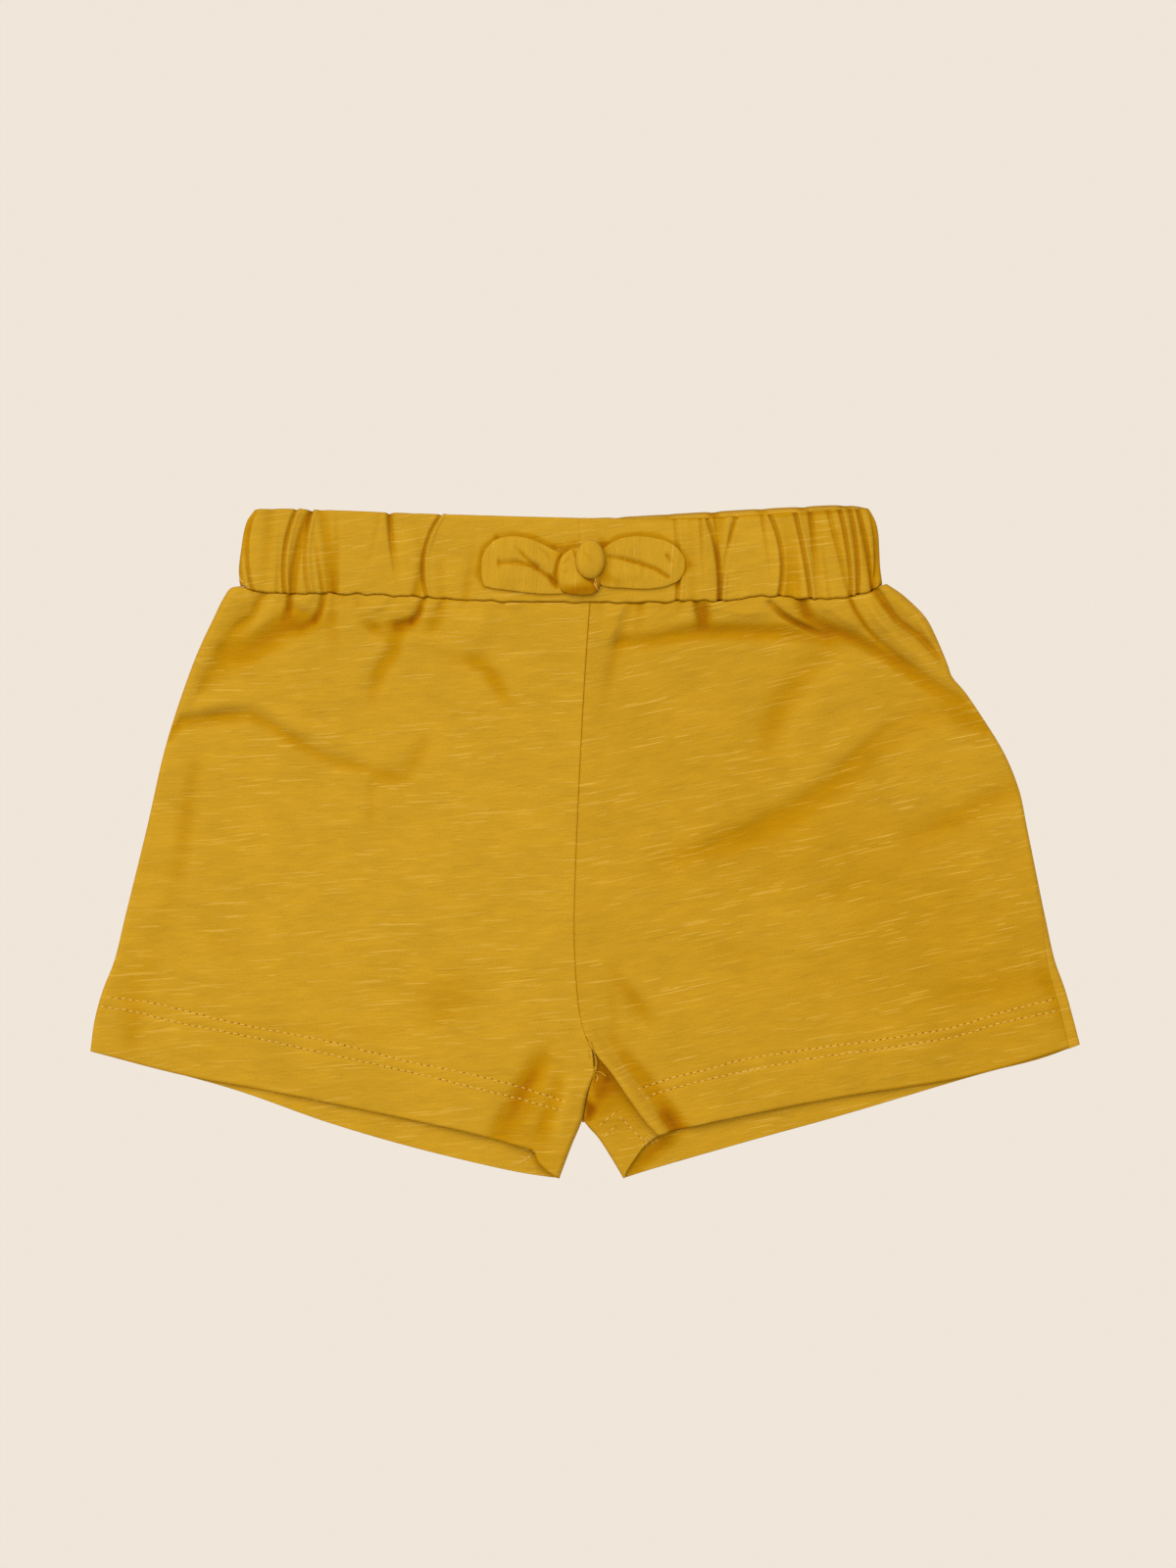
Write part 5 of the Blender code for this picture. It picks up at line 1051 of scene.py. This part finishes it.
def add_panel(name, grid, downward, material, wrapped=None):
    """A panel's wall from its outer face. wrapped: a grid whose first column is its last one."""
    rows, columns, _ = grid.shape
    points = list(grid.reshape(-1, 4))
    faces = grid_faces(rows, columns)
    if wrapped is not None:
        first_row = rows - wrapped.shape[0]
        numbers = []
        for r in range(wrapped.shape[0]):
            shared = (first_row + r) * columns + columns - 1
            numbers.append([shared] + [len(points) + c for c in range(wrapped.shape[1] - 1)])
            points.extend(wrapped[r, 1:])
        for upper, lower in zip(numbers, numbers[1:]):
            faces += [(upper[c], upper[c + 1], lower[c + 1], lower[c]) for c in range(len(upper) - 1)]
    points = np.array(points)
    obj = add_object(name, points[:, :3], faces, material, points[:, 3])
    face_outward(obj, downward)
    wall = obj.modifiers.new("wall", "SOLIDIFY")
    wall.thickness = CLOTH * MM
    wall.offset = -1.0
    return obj


def band_depth(folds, x, up):
    """Depth of the gathers at x, at a share of the band's height."""
    total = np.zeros(np.shape(x))
    for fold in folds:
        line = fold.seam + (fold.top - fold.seam) * up + fold.bend * 4.0 * up * (1.0 - up)
        strength = fold.to_seam + (fold.from_top - fold.to_seam) * smoothstep(up)
        total += fold.depth * strength * np.exp(-(((x - line) / fold.width) ** 2))
    return total


def band_loop():
    """Stations round the band: signed half (1 front, -1 back), share across and angle of the end fold."""
    half = np.linspace(0.0, 1.0, BAND_STATIONS)
    turn = np.linspace(0.0, np.pi, BAND_END_STATIONS + 2)[1:-1]
    stations = [(1, t, 0.0) for t in half]
    stations += [(0, 1.0, a) for a in turn]
    stations += [(-1, t, np.pi) for t in half[::-1]]
    stations += [(0, 0.0, a) for a in turn[::-1]]
    return stations


def band_ring(station, ups, depths):
    """The points of one station of the band, from shares of its height and depths in from its face."""
    half, across, angle = station
    radius = BAND_TOP / 2
    left, right = BAND_LEFT(ups) + [radius, 0.0], BAND_RIGHT(ups) - [radius, 0.0]
    outward = 1.0 if across > 0.5 else -1.0
    front = 0.5 + 0.5 * np.cos(angle)
    x = left[:, 0] + (right[:, 0] - left[:, 0]) * across + outward * radius * np.sin(angle)
    seam = front * WAIST_F(x) + (1.0 - front) * WAIST_B(x)
    seam = seam + front * pucker(x)
    top = front * TOP_F(x) + (1.0 - front) * TOP_B(x)
    folds = BAND_FRONT_FOLDS + BAND_FRONT_FINE if half + np.cos(angle) > 0 else BAND_BACK_FOLDS
    pleats = np.minimum(band_depth(folds, x, ups), CASING - BAND_LEAST_WALL)
    pleats = pleats * smoothstep(abs(np.cos(angle)) / BAND_END_TURN)
    top = top - BAND_NOTCH * pleats * smoothstep((ups - BAND_NOTCH_FROM) / (1.0 - BAND_NOTCH_FROM))
    depth = depths + pleats * fading(depths / BAND_INNER_EVEN)
    y = seam + SEAM_GAP + (top - seam - SEAM_GAP) * ups
    # painted shade along the waist seam, in the gathers and at the places in BAND_SHADES, on the front half
    # and the ends
    shade = fold_sum(BAND_SHADES, x, y) + SEAM_SHADE * fading((y - seam) / SEAM_SHADE_WIDTH)
    if half < 0:
        shade = 0.0
    x = x - outward * depth * np.sin(angle)
    z = radius + (radius - depth) * np.cos(angle)
    painted_shade = painted_shade_of(pleats * BAND_PLEAT_SHADE + shade)
    return np.stack([x, y, z, painted_shade], axis=-1)


def height_over(line):
    points = line(np.linspace(0.0, 1.0, 200))
    return lambda x: np.interp(x, points[:, 0], points[:, 1])


def add_waistband(material):
    """The casing as a closed ring: each station is a flat section with round edges."""
    t = np.linspace(0.0, 1.0, BAND_ROWS)
    round_off = 1.0 - np.minimum(1.0, np.minimum(t, 1.0 - t) / BAND_EDGE_SHARE)
    outer_depth = BAND_EDGE_ROUND * (1.0 - np.sqrt(np.clip(1.0 - round_off**2, 0.0, 1.0)))
    inner = np.linspace(1.0, 0.0, BAND_INNER_ROWS + 2)[1:-1]
    ups = np.concatenate([t, inner])
    depths = np.concatenate([outer_depth, np.full(inner.shape, CASING)])
    stations = band_loop()
    points = np.concatenate([band_ring(station, ups, depths) for station in stations])
    n, m = len(stations), len(ups)
    faces = [
        (i * m + j, ((i + 1) % n) * m + j, ((i + 1) % n) * m + (j + 1) % m, i * m + (j + 1) % m)
        for i in range(n)
        for j in range(m)
    ]
    obj = add_object("waistband_cloth", points[:, :3], faces, material, points[:, 3])
    face_outward(obj)
    return obj


def add_pillow(name, sections, creases, shades, material):
    """A flat closed tube of the bow, from rings through its sections, with creases in its upper side.

    Its edge all round and the places in shades get painted shade, darker and redder.
    """
    left, right = sections[0].x, sections[-1].x
    turns = np.linspace(0.0, np.pi, BOW_RINGS)
    angles = 2 * np.pi * np.arange(BOW_SIDES) / BOW_SIDES
    rise = np.sign(np.sin(angles)) * np.abs(np.sin(angles)) ** BOW_FLATNESS
    points = []
    for x in left + (right - left) * (0.5 - 0.5 * np.cos(turns)):
        low, high, thick = (float(between(sections, column, x)) for column in ("low", "high", "thick"))
        y = (low + high) / 2 + (high - low) / 2 * np.cos(angles)
        z = BOW_REST + thick / 2 + thick / 2 * rise
        depth = fold_sum(creases, np.full(y.shape, x), y) * np.clip(rise, 0.0, 1.0)
        # painted shade in the creases, at the places in shades and round the rim
        shade_depth = fold_sum(shades, np.full(y.shape, x), y) - BOW_CREASE_SHADE * depth
        edge = np.minimum(np.clip(rise / BOW_RIM_RISE, 0.0, 1.0), min(x - left, right - x) / BOW_RIM)
        painted_shade = painted_shade_of(shade_depth + PAINTED_SHADE_DEPTH * BOW_RIM_SHADE * fading(edge))
        points.append(np.stack([np.full(y.shape, x), y, np.maximum(z + depth, BOW_REST), painted_shade], axis=-1))
    points = np.concatenate(points)
    faces = [tuple(range(BOW_SIDES)), tuple(range(len(points) - BOW_SIDES, len(points)))]
    for ring in range(BOW_RINGS - 1):
        for k in range(BOW_SIDES):
            near, far, after = ring * BOW_SIDES, (ring + 1) * BOW_SIDES, (k + 1) % BOW_SIDES
            faces.append((near + k, near + after, far + after, far + k))
    obj = add_object(name, points[:, :3], faces, material, points[:, 3])
    face_outward(obj)
    return obj


def add_knot(name, creases, material):
    """The knot's round body, with the folds that run over it."""
    shape = bmesh.new()
    bmesh.ops.create_uvsphere(shape, u_segments=96, v_segments=64, radius=1.0)
    unit = np.array([vert.co[:] for vert in shape.verts])
    faces = [tuple(vert.index for vert in face.verts) for face in shape.faces]
    shape.free()
    rise = np.sign(unit[:, 2]) * np.abs(unit[:, 2]) ** KNOT_FLATNESS
    points = np.array(KNOT_CENTRE) + np.stack([unit[:, 0], unit[:, 1], rise], axis=-1) * KNOT_RADII
    depth = fold_sum(creases, points[:, 0], points[:, 1]) * np.clip(rise, 0.0, 1.0)
    points[:, 2] += depth
    # painted shade round the knot's rim and in its creases
    painted_shade = np.clip(KNOT_RIM_SHADE * fading(rise / BOW_RIM_RISE) - BOW_CREASE_SHADE * depth, 0.0, 1.0)
    obj = add_object(name, points, faces, material, painted_shade)
    obj.data.shade_smooth()
    return obj


BAND_LEFT, BAND_RIGHT = curve(BAND_END_LEFT), curve(BAND_END_RIGHT)
WAIST_F, WAIST_B = height_over(curve(WAIST_FRONT)), height_over(curve(WAIST_BACK))
TOP_F, TOP_B = height_over(curve(BAND_TOP_FRONT)), height_over(curve(BAND_TOP_BACK))


# Materials


class Nodes:
    """A material whose nodes are made one by one."""

    def __init__(self, name):
        self.material = bpy.data.materials.new(name)
        self.material.use_nodes = True
        self.tree = self.material.node_tree
        self.shader = self.tree.nodes["Principled BSDF"]

    def node(self, kind, **settings):
        node = self.tree.nodes.new("ShaderNode" + kind)
        for name, value in settings.items():
            setattr(node, name, value)
        return node

    def put(self, socket, value):
        if isinstance(value, bpy.types.NodeSocket):
            self.tree.links.new(value, socket)
        else:
            socket.default_value = value

    def math(self, operation, *values):
        node = self.node("Math", operation=operation)
        for socket, value in zip(node.inputs, values):
            self.put(socket, value)
        return node.outputs["Value"]

    def vector(self, x, y, z=0.0):
        node = self.node("CombineXYZ")
        for socket, value in zip(node.inputs, (x, y, z)):
            self.put(socket, value)
        return node.outputs["Vector"]

    def ramp(self, value, low, high, to_low=0.0, to_high=1.0):
        node = self.node("MapRange", interpolation_type="SMOOTHSTEP")
        for socket, number in zip(node.inputs, (value, low, high, to_low, to_high)):
            self.put(socket, number)
        return node.outputs["Result"]

    def noise(self, vector, scale, detail=2.0):
        node = self.node("TexNoise")
        node.inputs["Scale"].default_value = scale
        node.inputs["Detail"].default_value = detail
        self.put(node.inputs["Vector"], vector)
        return node.outputs["Fac"]

    def random(self, vector):
        node = self.node("TexWhiteNoise", noise_dimensions="3D")
        self.put(node.inputs["Vector"], vector)
        parts = self.node("SeparateColor")
        self.put(parts.inputs["Color"], node.outputs["Color"])
        return parts.outputs

    def mixed(self, share, first, second):
        node = self.node("Mix", data_type="RGBA")
        self.put(node.inputs["Factor"], share)
        self.put(node.inputs["A"], first)
        self.put(node.inputs["B"], second)
        return node.outputs["Result"]


def along_courses(n, grain):
    """Distances along the courses and across them, in millimetres. Height counts a little, at turns."""
    place = n.node("TexCoord").outputs["Object"]
    turn = n.node("Mapping")
    turn.inputs["Rotation"].default_value = (0.0, 0.0, np.radians(-grain))
    turn.inputs["Scale"].default_value = (1000.0, 1000.0, 1000.0)
    n.put(turn.inputs["Vector"], place)
    parts = n.node("SeparateXYZ")
    n.put(parts.inputs["Vector"], turn.outputs["Vector"])
    x, y, z = parts.outputs
    wander = n.math("SUBTRACT", n.noise(turn.outputs["Vector"], WANDER_SCALE, 1.0), 0.5)
    wander = n.math("MULTIPLY", wander, WANDER)
    return x, n.math("ADD", n.math("ADD", y, n.math("MULTIPLY", z, HEIGHT_SHARE)), wander)


def slubs(n, along, across, cell, row, share, seed):
    """Short thick places in the yarn: each row of cells is shifted, and few cells hold a streak."""
    down = n.math("DIVIDE", across, row)
    row_number = n.math("FLOOR", down)
    shift = n.random(n.vector(row_number, seed))[0]
    there = n.math("ADD", n.math("DIVIDE", along, cell), n.math("MULTIPLY", shift, SLUB_SHIFT))
    dice = n.random(n.vector(n.math("FLOOR", there), row_number, seed))
    off_middle = n.math("ABSOLUTE", n.math("SUBTRACT", n.math("FRACT", there), 0.5))
    half = n.math("MULTIPLY_ADD", dice[1], SLUB_HALF[1], SLUB_HALF[0])
    length = n.ramp(off_middle, n.math("MULTIPLY", half, 0.45), half, 1.0, 0.0)
    width = n.ramp(n.math("ABSOLUTE", n.math("SUBTRACT", n.math("FRACT", down), 0.5)), 0.12, 0.5, 1.0, 0.0)
    strength = n.math("MULTIPLY_ADD", dice[2], SLUB_STRENGTH[1], SLUB_STRENGTH[0])
    strength = n.math("MULTIPLY", strength, n.math("LESS_THAN", dice[0], share))
    return n.math("MULTIPLY", n.math("MULTIPLY", length, width), strength)


def jersey(name, colour, grain, slub_share=1.0):
    """Slub single jersey. grain: the angle of its courses in degrees.

    The colour is darkened and reddened, and the specular lowered, by a per-point attribute of painted shade.
    A negative value of it counts only on the side that looks up, the inner side of a back panel.
    """
    n = Nodes(name)
    n.shader.inputs["Roughness"].default_value = 0.92
    n.shader.inputs["Sheen Weight"].default_value = 0.04
    n.shader.inputs["Sheen Roughness"].default_value = 0.5
    n.shader.inputs["Sheen Tint"].default_value = (0.9, 0.6, 0.2, 1.0)
    along, across = along_courses(n, grain)
    plane = n.vector(along, across)
    patches = n.ramp(n.noise(n.vector(n.math("MULTIPLY", along, 0.5), across), 0.09), 0.35, 0.6, 0.25, 1.0)
    streaks = slubs(n, along, across, 18.0, 0.44, 0.12 * slub_share, 3.0)
    for cell, row, share, seed in ((10.0, 0.38, 0.09, 8.0), (25.0, 0.5, 0.05, 14.0)):
        streaks = n.math("MAXIMUM", streaks, slubs(n, along, across, cell, row, share * slub_share, seed))
    # the attribute of painted shade; a negative value counts only on faces that look up
    painted_shade = n.node("Attribute", attribute_name="painted_shade").outputs["Fac"]
    facing = n.node("SeparateXYZ")
    n.put(facing.inputs["Vector"], n.node("NewGeometry").outputs["True Normal"])
    upward = n.math("GREATER_THAN", facing.outputs["Z"], 0.0)
    painted_shade = n.math("MAXIMUM", painted_shade, n.math("MULTIPLY", n.math("MULTIPLY", painted_shade, -1.0), upward))
    # fewer slubs where shade is painted, and less specular there
    streaks = n.math("MULTIPLY", n.math("MULTIPLY", streaks, patches), n.ramp(painted_shade, 0.1, 0.8, 1.0, 0.15))
    n.put(n.shader.inputs["Specular IOR Level"], n.ramp(painted_shade, 0.0, 0.5, 0.12, 0.02))
    courses = n.noise(n.vector(n.math("MULTIPLY", along, 0.12), across), 1.7)
    shade = n.noise(n.vector(n.math("MULTIPLY", along, 0.25), across), 0.35)
    mottle = n.noise(plane, 0.05, 3.0)
    grains = n.noise(plane, 2.2, 1.0)

    tone = n.math("ADD", n.ramp(mottle, 0.25, 0.75, 0.955, 1.035), n.ramp(courses, 0.2, 0.8, -0.05, 0.05))
    tone = n.math("ADD", tone, n.ramp(shade, 0.25, 0.75, -0.04, 0.04))
    tone = n.math("ADD", tone, n.ramp(grains, 0.2, 0.8, -0.06, 0.06))
    thin = slubs(n, along, across, 15.0, 0.5, 0.1, 21.0)
    tone = n.math("SUBTRACT", tone, n.math("MULTIPLY", thin, 0.14))
    base = n.node("VectorMath", operation="SCALE")
    # painted shade: the dye mixed towards darker, redder tints by the attribute
    dye_with_painted_shade = (*colour, 1.0)
    for tint, start, end in PAINTED_SHADE_TINTS:
        shaded_colour = tuple(part * share for part, share in zip(colour, tint)) + (1.0,)
        dye_with_painted_shade = n.mixed(n.ramp(painted_shade, start, end), dye_with_painted_shade, shaded_colour)
    n.put(base.inputs[0], dye_with_painted_shade)
    n.put(base.inputs["Scale"], tone)
    n.put(n.shader.inputs["Base Color"], n.mixed(streaks, base.outputs["Vector"], SLUB_COLOUR))

    bump = n.node("Bump")
    bump.inputs["Strength"].default_value = 0.4
    bump.inputs["Distance"].default_value = 0.00025
    relief = n.math("MULTIPLY_ADD", streaks, 0.6, courses)
    n.put(bump.inputs["Height"], n.math("ADD", relief, n.math("MULTIPLY", grains, 0.8)))
    n.put(n.shader.inputs["Normal"], bump.outputs["Normal"])
    return n.material


def plain(name, colour, roughness):
    material = bpy.data.materials.new(name)
    material.use_nodes = True
    shader = material.node_tree.nodes["Principled BSDF"]
    shader.inputs["Base Color"].default_value = (*colour, 1.0)
    shader.inputs["Roughness"].default_value = roughness
    return material


cloth_left = jersey("jersey_left", MUSTARD, 4.0)
# its colour is darker as painted shade, and its courses run at another angle
cloth_right = jersey("jersey_right", MUSTARD_RIGHT_PAINTED_SHADE, 11.5)
cloth_band = jersey("jersey_band", MUSTARD, 8.0)
cloth_bow = jersey("jersey_bow", MUSTARD_BOW, 84.0, 0.2)

# Panels

half_gap = CENTRE_GAP / 2
waist = moved(curve(WAIST_FRONT), 0.0, -SEAM_GAP / 2)
down_to_crotch = curve(CENTRE_FRONT + CENTRE_TO_CROTCH[1:])
down_to_ridge = part_of(down_to_crotch, 0.0, share_at(down_to_crotch, 1, RIDGE_RIGHT[0][1]))
front_left_plan = Patch(
    half_of(waist, CENTRE_FRONT[0][0] - half_gap, False),
    joined(curve(HEM_FRONT_LEFT), curve(RIM_FRONT_LEFT), RIM),
    curve(SIDE_LEFT),
    moved(joined(down_to_crotch, curve(INNER_LEG_LEFT), CROTCH), -half_gap),
)
front_right_plan = Patch(
    half_of(waist, CENTRE_FRONT[0][0] + half_gap, True),
    curve(HEM_FRONT_RIGHT),
    curve(SIDE_RIGHT),
    moved(joined(down_to_ridge, curve(RIDGE_RIGHT), CROTCH), half_gap),
)
waist = moved(curve(WAIST_BACK), 0.0, -SEAM_GAP / 2)
back_centre = curve(CENTRE_BACK)
back_left_plan = Patch(
    half_of(waist, CENTRE_BACK[0][0], False),
    curve(HEM_BACK_LEFT),
    curve(SIDE_LEFT),
    joined(back_centre, curve(INNER_LEG_LEFT), CROTCH),
)
back_right_plan = Patch(
    half_of(waist, CENTRE_BACK[0][0], True),
    curve(HEM_BACK_RIGHT),
    curve(SIDE_RIGHT),
    joined(back_centre, curve(INNER_LEG_RIGHT), CROTCH),
)


def inset_row(plan, inset):
    """A line at a distance up from a panel's hem."""
    across = np.linspace(0.03, 0.97, 60)
    hem = plan.hem(across)
    step = np.gradient(hem, axis=0)
    normal = np.stack([-step[:, 1], step[:, 0]], axis=-1) / np.linalg.norm(step, axis=1)[:, None]
    normal *= np.sign(normal[:, 1])[:, None]
    return hem + normal * inset


BACK_ROWS_OF_STITCHES = [
    inset_row(plan, inset) for plan in (back_left_plan, back_right_plan) for inset in HEM_INSETS
]

front_left = add_panel(
    "front_left_cloth",
    front_panel(front_left_plan, "seam_left", True, (HEM_UPPER_LEFT, HEM_LOWER_LEFT)),
    False,
    cloth_left,
)
front_right = add_panel(
    "front_right_cloth",
    front_panel(front_right_plan, "seam_right", False, (HEM_UPPER_RIGHT, HEM_LOWER_RIGHT)),
    False,
    cloth_right,
)
back_left = add_panel(
    "back_left_cloth",
    back_panel(back_left_plan, "seam_left", INNER_FOLD_HEIGHT - FOLD_GAP),
    True,
    cloth_left,
)
wrapped = strip(
    curve(INNER_LEG_RIGHT),
    moved(curve(CENTRE_TO_CROTCH[::-1]), half_gap * 2),
    tucked_under(curve(RIDGE_RIGHT)),
    curve(STRIP_RIM),
)
back_right = add_panel(
    "back_right_cloth",
    back_panel(back_right_plan, "seam_right", STRIP_TOP / 2),
    True,
    cloth_right,
    wrapped,
)
waistband = add_waistband(cloth_band)

# Bow

loop_left = add_pillow("bow_loop_left_cloth", LOOP_LEFT, LEFT_CREASES, LEFT_SHADES, cloth_bow)
loop_right = add_pillow("bow_loop_right_cloth", LOOP_RIGHT, RIGHT_CREASES, RIGHT_SHADES, cloth_bow)
wrap = add_pillow("bow_wrap_cloth", WRAP, WRAP_CREASES, WRAP_SHADES, cloth_bow)
knot = add_knot("bow_knot_cloth", KNOT_CREASES, cloth_bow)

# Each cloth piece with the solid that it stands for and its material
DRESSED = (
    (front_left, "front_left", "jersey"),
    (front_right, "front_right", "jersey"),
    (back_left, "back_left", "jersey"),
    (back_right, "back_right", "jersey"),
    (waistband, "waistband", "casing"),
    (loop_left, "bow_loop_left", "bow"),
    (loop_right, "bow_loop_right", "bow"),
    (wrap, "bow_wrap", "bow"),
    (knot, "bow_knot", "bow"),
)

# Stitches and threads


def surface(*objs):
    """The outer surfaces of these pieces, to find where a stitch lies."""
    points, faces = [], []
    graph = bpy.context.evaluated_depsgraph_get()
    for obj in objs:
        mesh = obj.evaluated_get(graph).to_mesh()
        first = len(points)
        points += [vert.co.copy() for vert in mesh.vertices]
        faces += [tuple(first + k for k in face.vertices) for face in mesh.polygons]
    return BVHTree.FromPolygons(points, faces)


def seat(tree, x, y, from_below=False):
    """The point and the normal where a vertical line through x, y meets the cloth, in millimetres."""
    away = -1.0 if from_below else 1.0
    point, normal, *_ = tree.ray_cast(Vector((x * MM, y * MM, away * RAY_START)), Vector((0.0, 0.0, -away)))
    if point is None:
        return None
    return np.array(point) / MM, np.array(normal)


def lies_flat(spot):
    return spot is not None and abs(spot[1][2]) > STITCH_STEEPEST


def tube(path, radius, sides=6):
    """Points and faces of a round tube along a path, with closed ends."""
    path = np.array(path, float)
    steps = np.gradient(path, axis=0)
    points, faces = [], []
    for k, (place, step) in enumerate(zip(path, steps)):
        step = step / np.linalg.norm(step)
        side = np.cross(step, (0.0, 0.0, 1.0) if abs(step[2]) < 0.9 else (1.0, 0.0, 0.0))
        side /= np.linalg.norm(side)
        up = np.cross(side, step)
        size = radius * (TUBE_END if k in (0, len(path) - 1) else 1.0)
        for turn in 2 * np.pi * np.arange(sides) / sides:
            points.append(place + size * (np.cos(turn) * side + np.sin(turn) * up))
    for k in range(len(path) - 1):
        for i in range(sides):
            a, b = k * sides + i, k * sides + (i + 1) % sides
            faces.append((a, b, b + sides, a + sides))
    faces.append(tuple(range(sides))[::-1])
    faces.append(tuple(range(len(points) - sides, len(points))))
    return points, faces


def add_joined(name, shapes, material):
    points, faces = [], []
    for shape_points, shape_faces in shapes:
        faces += [tuple(len(points) + k for k in face) for face in shape_faces]
        points += list(shape_points)
    obj = add_object(name, points, faces, material)
    obj.data.shade_smooth()
    return obj


def sewn_row(tree, row, from_below=False):
    """Stitches along a row, and beads of painted shadow at the needle holes between them."""
    line = curve(row)
    length = np.linalg.norm(np.diff(line(np.linspace(0, 1, 300)), axis=0), axis=1).sum()
    count = int(length / STITCH_PITCH)
    sign = -1.0 if from_below else 1.0
    stitches, hole_shadows = [], []
    for k in range(count):
        wobble = STITCH_WOBBLE * np.sin(k * STITCH_WOBBLE_STEP + row[0][0])
        along = np.linspace(-0.5, 0.5, len(STITCH_LIFTS)) * STITCH_LENGTH / STITCH_PITCH
        shares = (k + 0.5 + along) / count
        seats = [seat(tree, x, y + wobble, from_below) for x, y in line(shares)]
        if not all(lies_flat(place) for place in seats):
            continue
        path = np.array([point for point, _ in seats])
        path[:, 2] += sign * STITCH_RADIUS * np.array(STITCH_LIFTS)
        path[:, 2] = np.maximum(path[:, 2], STITCH_RADIUS)
        stitches.append(tube(path, STITCH_RADIUS))
        x, y = line((k + 1.0) / count)
        spot = seat(tree, x, y + wobble, from_below)
        if lies_flat(spot):
            hole_shadows.append(bead(spot[0] - [0.0, 0.0, sign * HOLE_DEPTH], HOLE_SIZE))
    return stitches, hole_shadows


def bead(place, size):
    """A flat round bead of dark colour where a needle went through: painted shadow in the hole."""
    points = [place + [0.0, 0.0, HOLE_BULGE], place - [0.0, 0.0, HOLE_BULGE]]
    for turn in 2 * np.pi * np.arange(8) / 8:
        points.append(place + size * np.array([np.cos(turn), np.sin(turn), 0.0]))
    ring = [2 + k for k in range(8)]
    faces = [(0, ring[k], ring[(k + 1) % 8]) for k in range(8)]
    faces += [(1, ring[(k + 1) % 8], ring[k]) for k in range(8)]
    return points, faces


thread_material = plain("thread", THREAD, 0.7)
# dark beads at the needle holes: painted shadow
hole_shadow_material = plain("needle_hole_shadow", NEEDLE_HOLE_SHADOW, 1.0)
bpy.context.view_layer.update()
fronts = surface(front_left, front_right, back_right)
backs = surface(back_left, back_right)
stitches, hole_shadows = [], []
for row in (HEM_UPPER_LEFT, HEM_LOWER_LEFT, HEM_UPPER_RIGHT, HEM_LOWER_RIGHT) + STRIP_ROWS:
    sewn, pierced = sewn_row(fronts, row)
    stitches += sewn
    hole_shadows += pierced
for row in BACK_ROWS_OF_STITCHES:
    sewn, pierced = sewn_row(backs, row[::6], True)
    stitches += sewn
hem_stitches = add_joined("hem_stitches", stitches, thread_material)
needle_hole_shadows = add_joined("needle_hole_shadows", hole_shadows, hole_shadow_material)

everything = surface(*(piece for piece, _, _ in DRESSED))


def laid_over(tree, path, radius, sink):
    """A thread along a path, lying on what is under it."""
    points, height = [], radius
    for x, y in curve(path)(np.linspace(0.0, 1.0, 16)):
        spot = seat(tree, x, y)
        if spot:
            height = spot[0][2]
        points.append((x, y, height + radius * (1.0 - sink)))
    return tube(points, radius)


threads = [laid_over(everything, path, THREAD_RADIUS, 0.0) for path in LOOSE_THREADS]
loose_threads = add_joined("loose_threads", threads, thread_material)
edges = [laid_over(fronts, edge.path, edge.radius, SEAM_EDGE_SINK) for edge in SEAM_EDGES]
seam_edges = add_joined("crotch_edges", edges, cloth_right)
tail = [(x, y, SEAM_TAIL_RADIUS) for x, y in curve(SEAM_TAIL)(np.linspace(0.0, 1.0, 40))]
seam_tail = add_joined("inner_seam_tail", [tube(tail, SEAM_TAIL_RADIUS)], cloth_right)
for piece in (hem_stitches, needle_hole_shadows, loose_threads, seam_edges, seam_tail):
    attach(piece, "root")

# Each piece in place of the solid that it stands for

for piece, node, slot in DRESSED:
    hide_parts(node)
    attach(piece, "root")

# Floor, light and camera

floor_mesh = bpy.data.meshes.new("floor")
floor_mesh.from_pydata([(-3, -3, 0), (3, -3, 0), (3, 3, 0), (-3, 3, 0)], [], [(0, 1, 2, 3)])
floor_material = plain("floor", (0.0, 0.0, 0.0), 1.0)
floor_shader = floor_material.node_tree.nodes["Principled BSDF"]
floor_shader.inputs["Specular IOR Level"].default_value = 0.0
floor_shader.inputs["Emission Color"].default_value = (0.871, 0.791, 0.701, 1.0)
floor_shader.inputs["Emission Strength"].default_value = 1.0
floor_mesh.materials.append(floor_material)
floor = bpy.data.objects.new("floor", floor_mesh)
floor.location.z = -0.0002
bpy.context.scene.collection.objects.link(floor)

world = bpy.data.worlds.new("studio")
bpy.context.scene.world = world
world.use_nodes = True
world.node_tree.nodes["Background"].inputs["Color"].default_value = (1.0, 1.0, 1.0, 1.0)
world.node_tree.nodes["Background"].inputs["Strength"].default_value = 0.45

key = bpy.data.lights.new("key", "SUN")
key.energy = 2.32
key.angle = np.radians(70.0)
key_place = bpy.data.objects.new("key", key)
key_place.rotation_euler = Vector((-0.26, 0.42, 1.0)).to_track_quat("Z", "Y").to_euler()
bpy.context.scene.collection.objects.link(key_place)

camera_data = bpy.data.cameras.new("camera")
camera_data.lens = 100.0
camera_data.sensor_width = 36.0
camera = bpy.data.objects.new("camera", camera_data)
camera.location = (0.001, 0.0171, 1.2898)
bpy.context.scene.collection.objects.link(camera)
bpy.context.scene.camera = camera
bpy.context.scene.view_settings.view_transform = "Standard"
